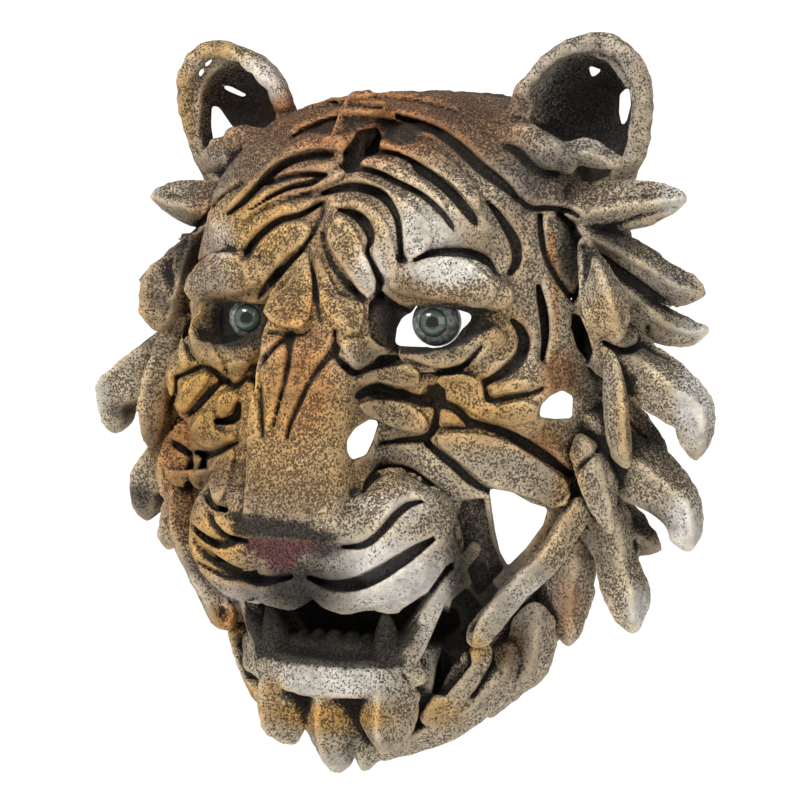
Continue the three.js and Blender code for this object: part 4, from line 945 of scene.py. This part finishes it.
# ---------------------------------------------------------------------------------- materials
class Nodes:
    """Small helper to wire a node tree."""

    def __init__(self, tree):
        self.tree = tree

    def node(self, kind, **values):
        """A node with its settings and input values."""
        n = self.tree.nodes.new(kind)
        for key, value in values.items():
            if hasattr(n, key):
                setattr(n, key, value)
            else:
                n.inputs[key.replace("_", " ")].default_value = value
        return n

    def wire(self, a, b):
        """Joins an output to an input."""
        self.tree.links.new(a, b)

    def feed(self, n, i, value):
        """Sets an input of a node to a number or a colour, or wires an output to it."""
        if isinstance(value, (int, float)):
            n.inputs[i].default_value = value
        elif isinstance(value, (tuple, np.ndarray)):
            n.inputs[i].default_value = (*[float(c) for c in value], 1)
        else:
            self.wire(value, n.inputs[i])

    def math(self, op, a, b):
        """Works out two values or outputs."""
        n = self.node("ShaderNodeMath", operation=op)
        self.feed(n, 0, a)
        self.feed(n, 1, b)
        return n.outputs[0]

    def mix(self, share, a, b, mode="MIX"):
        """Mixes two colours by a share."""
        n = self.node("ShaderNodeMix", data_type="RGBA", blend_type=mode)
        for i, v in ((0, share), (6, a), (7, b)):
            self.feed(n, i, v)
        return n.outputs[2]

    def ramp(self, value, low, high, a=0.0, b=1.0):
        """Eases a value from a to b between low and high."""
        n = self.node("ShaderNodeMapRange", interpolation_type="SMOOTHSTEP")
        for i, v in enumerate((value, low, high, a, b)):
            self.feed(n, i, v)
        return n.outputs[0]

    def read(self, name, output=2):
        """An attribute of the mesh, as a value or a colour."""
        return self.node("ShaderNodeAttribute", attribute_name=name).outputs[output]

    def noise(self, where, scale, detail=2.0, rough=0.5, bend=0.0):
        """Smooth noise over the object."""
        n = self.node("ShaderNodeTexNoise", Scale=scale, Detail=detail, Roughness=rough, Distortion=bend)
        self.wire(where, n.inputs["Vector"])
        return n.outputs["Fac"]


def new_coat(name):
    """A material, the helper that wires it, and its shader."""
    mat = bpy.data.materials.new(name)
    mat.use_nodes = True
    return mat, Nodes(mat.node_tree), mat.node_tree.nodes["Principled BSDF"]


def cast_stone():
    """Painted casting: sprayed colour, mottled, with worn pale edges, dark specks and pits, and a dark wash
    that also lays painted shade into hollows, undersides and the inside.
    """
    mat, t, shader = new_coat("painted_casting")
    where = t.node("ShaderNodeTexCoord").outputs["Object"]
    speck_and_shade, dark, edge, paint = t.read("speck_and_shade"), t.read("dark"), t.read("edge"), t.read("paint", 0)
    large = t.noise(where, 55.0, 4.0, 0.6)
    medium = t.noise(where, 230.0, 3.0, 0.6, 0.3)
    speck = t.noise(where, 800.0, 3.0, 0.7, 0.9)
    dust = t.noise(where, 1500.0, 1.0, 0.5)
    # paint, lighter and darker in patches, with a grey veil
    tone = t.mix(t.ramp(large, 0.35, 0.68), (0.72, 0.70, 0.68), (1.18, 1.16, 1.12))
    colour = t.mix(1.0, paint, tone, "MULTIPLY")
    veil = t.math("MULTIPLY", t.ramp(medium, 0.46, 0.68), 0.30)
    colour = t.mix(veil, colour, linear((0.36, 0.32, 0.28)))
    # worn edges catch the paint more brightly
    worn = t.math("MULTIPLY", edge, t.ramp(medium, 0.36, 0.56))
    bright = t.mix(1.0, colour, (1.38, 1.30, 1.16), "MULTIPLY")
    colour = t.mix(t.math("MULTIPLY", worn, 0.8), colour, bright)
    # dark specks where the noise falls below the speck level, which is raised in caves and on undersides as
    # painted shade
    cells = t.node("ShaderNodeTexVoronoi", Scale=680.0)
    shifted = t.node("ShaderNodeVectorMath", operation="MULTIPLY_ADD")
    t.wire(t.node("ShaderNodeTexNoise", Scale=700.0).outputs["Color"], shifted.inputs[0])
    shifted.inputs[1].default_value = (0.0016, 0.0016, 0.0016)
    t.wire(where, shifted.inputs[2])
    t.wire(shifted.outputs[0], cells.inputs["Vector"])
    level = t.math("ADD", t.math("MULTIPLY", speck, 0.72), t.math("MULTIPLY", cells.outputs["Distance"], 0.26))
    level = t.math("ADD", level, t.math("MULTIPLY", dust, 0.10))
    line = t.math("ADD", t.math("MULTIPLY", speck_and_shade, 0.34), 0.355)
    line = t.math("ADD", line, t.math("MULTIPLY", t.math("SUBTRACT", large, 0.5), 0.26))
    ink = t.ramp(level, t.math("SUBTRACT", line, 0.022), t.math("ADD", line, 0.014), 1.0, 0.0)
    black = t.mix(t.read("warm"), t.mix(1.0, colour, (0.17, 0.15, 0.135), "MULTIPLY"),
                  t.mix(1.0, colour, (0.29, 0.24, 0.19), "MULTIPLY"))
    black = t.mix(0.25, black, linear((0.18, 0.16, 0.15)))
    colour = t.mix(t.math("MULTIPLY", ink, 0.93), colour, black)
    # dark wash and painted shade in the hollows, inside, towards the wall and on undersides, broken up so that
    # pale rubbed places stay
    wash_and_shade = t.ramp(t.math("ADD", dark, t.math("MULTIPLY", t.math("SUBTRACT", speck, 0.5), -1.4)), 0.22, 0.85)
    colour = t.mix(t.math("MULTIPLY", wash_and_shade, 0.92), colour, linear((0.11, 0.10, 0.096)))
    t.wire(colour, shader.inputs["Base Color"])
    rough = t.ramp(ink, 0.0, 1.0, 0.72, 0.9)
    t.wire(rough, shader.inputs["Roughness"])
    shader.inputs["Specular IOR Level"].default_value = 0.35
    height = t.math("ADD", t.math("MULTIPLY", ink, -0.45), t.math("MULTIPLY", medium, 1.2))
    height = t.math("ADD", height, t.math("MULTIPLY", dust, 0.25))
    bump = t.node("ShaderNodeBump", Strength=0.9, Distance=0.0011)
    t.wire(height, bump.inputs["Height"])
    t.wire(bump.outputs["Normal"], shader.inputs["Normal"])
    return mat


def eye_coat():
    """Glass eye: dark pupil, grey green iris with rays and a dark rim, and a clouded grey white."""
    mat, t, shader = new_coat("glass_eye")
    where = t.node("ShaderNodeTexCoord").outputs["Object"]
    polar, turn = t.read("polar"), t.read("turn")
    rays = t.node("ShaderNodeTexNoise", noise_dimensions="1D", Detail=3.0, Scale=26.0)
    t.wire(turn, rays.inputs["W"])
    cloud = t.noise(where, 320.0, 3.0)
    iris = t.mix(t.ramp(rays.outputs["Fac"], 0.3, 0.7), linear((0.20, 0.26, 0.22)),
                 linear((0.44, 0.51, 0.45)))
    iris = t.mix(t.ramp(polar, 0.46, 0.60, 0.0, 0.8), iris, linear((0.06, 0.08, 0.07)))
    iris = t.mix(t.ramp(polar, 0.22, 0.31, 1.0, 0.0), iris, (0.004, 0.004, 0.004))
    white = t.mix(t.ramp(cloud, 0.35, 0.7), linear((0.40, 0.41, 0.40)), linear((0.68, 0.69, 0.67)))
    colour = t.mix(t.ramp(polar, 0.59, 0.64), iris, white)
    colour = t.mix(t.ramp(polar, 1.0, 1.5), colour, linear((0.22, 0.22, 0.22)))
    t.wire(colour, shader.inputs["Base Color"])
    t.wire(t.ramp(cloud, 0.3, 0.7, 0.06, 0.14), shader.inputs["Roughness"])
    shader.inputs["Coat Weight"].default_value = 1.0
    shader.inputs["Coat Roughness"].default_value = 0.03
    return mat


def eyeball(name, node, middle, gaze):
    """A ball around its gaze with a cornea: its radius swells by a smooth bump within the iris. Rings step
    round the gaze from front to back, and each corner keeps its angles for the paint."""
    radius, rings, around = EYE_RADIUS, 56, 72
    side, up = math.radians(gaze[0]), math.radians(gaze[1])
    n = np.array([math.sin(side) * math.cos(up), math.cos(side) * math.cos(up), math.sin(up)])
    u = np.cross(n, [0, 0, 1])
    u /= np.linalg.norm(u)
    v = np.cross(u, n)
    polar = np.linspace(0, math.pi, rings + 1)[1:-1]
    turn = np.linspace(0, 2 * math.pi, around, endpoint=False)
    p, a = np.meshgrid(polar, turn, indexing="ij")
    r = radius * (0.965 + 0.035 * np.exp(-(p / 0.55) ** 4))
    ring = np.cos(a)[..., None] * u + np.sin(a)[..., None] * v
    spots = (r * np.cos(p))[..., None] * n + (r * np.sin(p))[..., None] * ring
    spots = np.vstack([spots.reshape(-1, 3), radius * n, -radius * 0.965 * n]) + np.array(middle)
    polars = np.concatenate([p.ravel(), [0, math.pi]])
    turns = np.concatenate([a.ravel(), [0, 0]])
    front, last, foot = len(spots) - 2, len(spots) - 1, (len(polar) - 1) * around
    j = np.arange(around)
    k = (j + 1) % around
    ends = np.stack([np.full(around, front), j, k, np.full(around, last), foot + k, foot + j], 1)
    i = np.arange(len(polar) - 1) * around
    a, b = i + j[:, None], i + k[:, None]
    bands = np.stack([a, a + around, b + around, a, b + around, b], -1)
    tri = np.concatenate([ends.reshape(around, 2, 3), bands.reshape(around, -1, 3)], 1).reshape(-1, 3)
    obj = new_mesh(name, spots, tri)
    attribute(obj, "polar", polars)
    attribute(obj, "turn", turns)
    rounded(obj.data)
    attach(obj, "root")
    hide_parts(node)
    return obj


tiger.data.materials.clear()
tiger.data.materials.append(cast_stone())
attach(tiger, "root")
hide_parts("mask")
glass = eye_coat()
for eye in (eyeball("eye_left_glass", "eye_left", EYE, (17, 0)),
            eyeball("eye_right_glass", "eye_right", (-EYE[0], EYE[1], EYE[2]), (15, 0))):
    eye.data.materials.append(glass)

# ---------------------------------------------------------------------------------- stage, camera and light
floor = bpy.data.meshes.new("floor")
floor.from_pydata([(-1.4, -1.6, -0.75), (1.4, -1.6, -0.75), (1.4, 1.0, -0.75), (-1.4, 1.0, -0.75)], [],
                  [(0, 1, 2, 3)])
ground = bpy.data.objects.new("floor", floor)
bpy.context.scene.collection.objects.link(ground)
pale, _, shader = new_coat("pale_floor")
shader.inputs["Base Color"].default_value = (0.9, 0.9, 0.9, 1)
shader.inputs["Roughness"].default_value = 0.9
floor.materials.append(pale)


def aimed(obj, place, target):
    """Stands an object at a place, looking along its -Z at a target."""
    obj.location = place
    obj.rotation_euler = (Vector(target) - Vector(place)).to_track_quat("-Z", "Y").to_euler()
    bpy.context.scene.collection.objects.link(obj)
    return obj


AIM = (0.0, -AIM_FORWARD * 0.001, -HANG * 0.001)
lens = bpy.data.cameras.new("camera")
lens.sensor_width, lens.lens = SENSOR, FOCAL * SENSOR / (2 * MIDDLE)
lens.clip_end = 50
spot = (AIM[0] + BACK[0] * FAR * 0.001, AIM[1] - BACK[1] * FAR * 0.001, AIM[2] + BACK[2] * FAR * 0.001)
camera = aimed(bpy.data.objects.new("camera", lens), spot, AIM)
bpy.context.scene.camera = camera
for name, place, size, power in (("key", (-0.7, -1.9, 1.6), 1.0, 40), ("fill", (2.0, -1.5, 0.3), 1.6, 11),
                                 ("top", (0.3, -0.3, 1.9), 1.2, 16)):
    lamp = bpy.data.lights.new(name, "AREA")
    lamp.size, lamp.energy = size, power
    aimed(bpy.data.objects.new(name, lamp), place, AIM)
world = bpy.data.worlds.new("white room")
world.use_nodes = True
world.node_tree.nodes["Background"].inputs[0].default_value = (1, 1, 1, 1)
room = Nodes(world.node_tree)
shine = room.ramp(room.node("ShaderNodeLightPath").outputs["Is Camera Ray"], 0.0, 1.0, 0.36, 1.05)
room.wire(shine, world.node_tree.nodes["Background"].inputs[1])
bpy.context.scene.world = world
bpy.context.scene.view_settings.view_transform = "Standard"
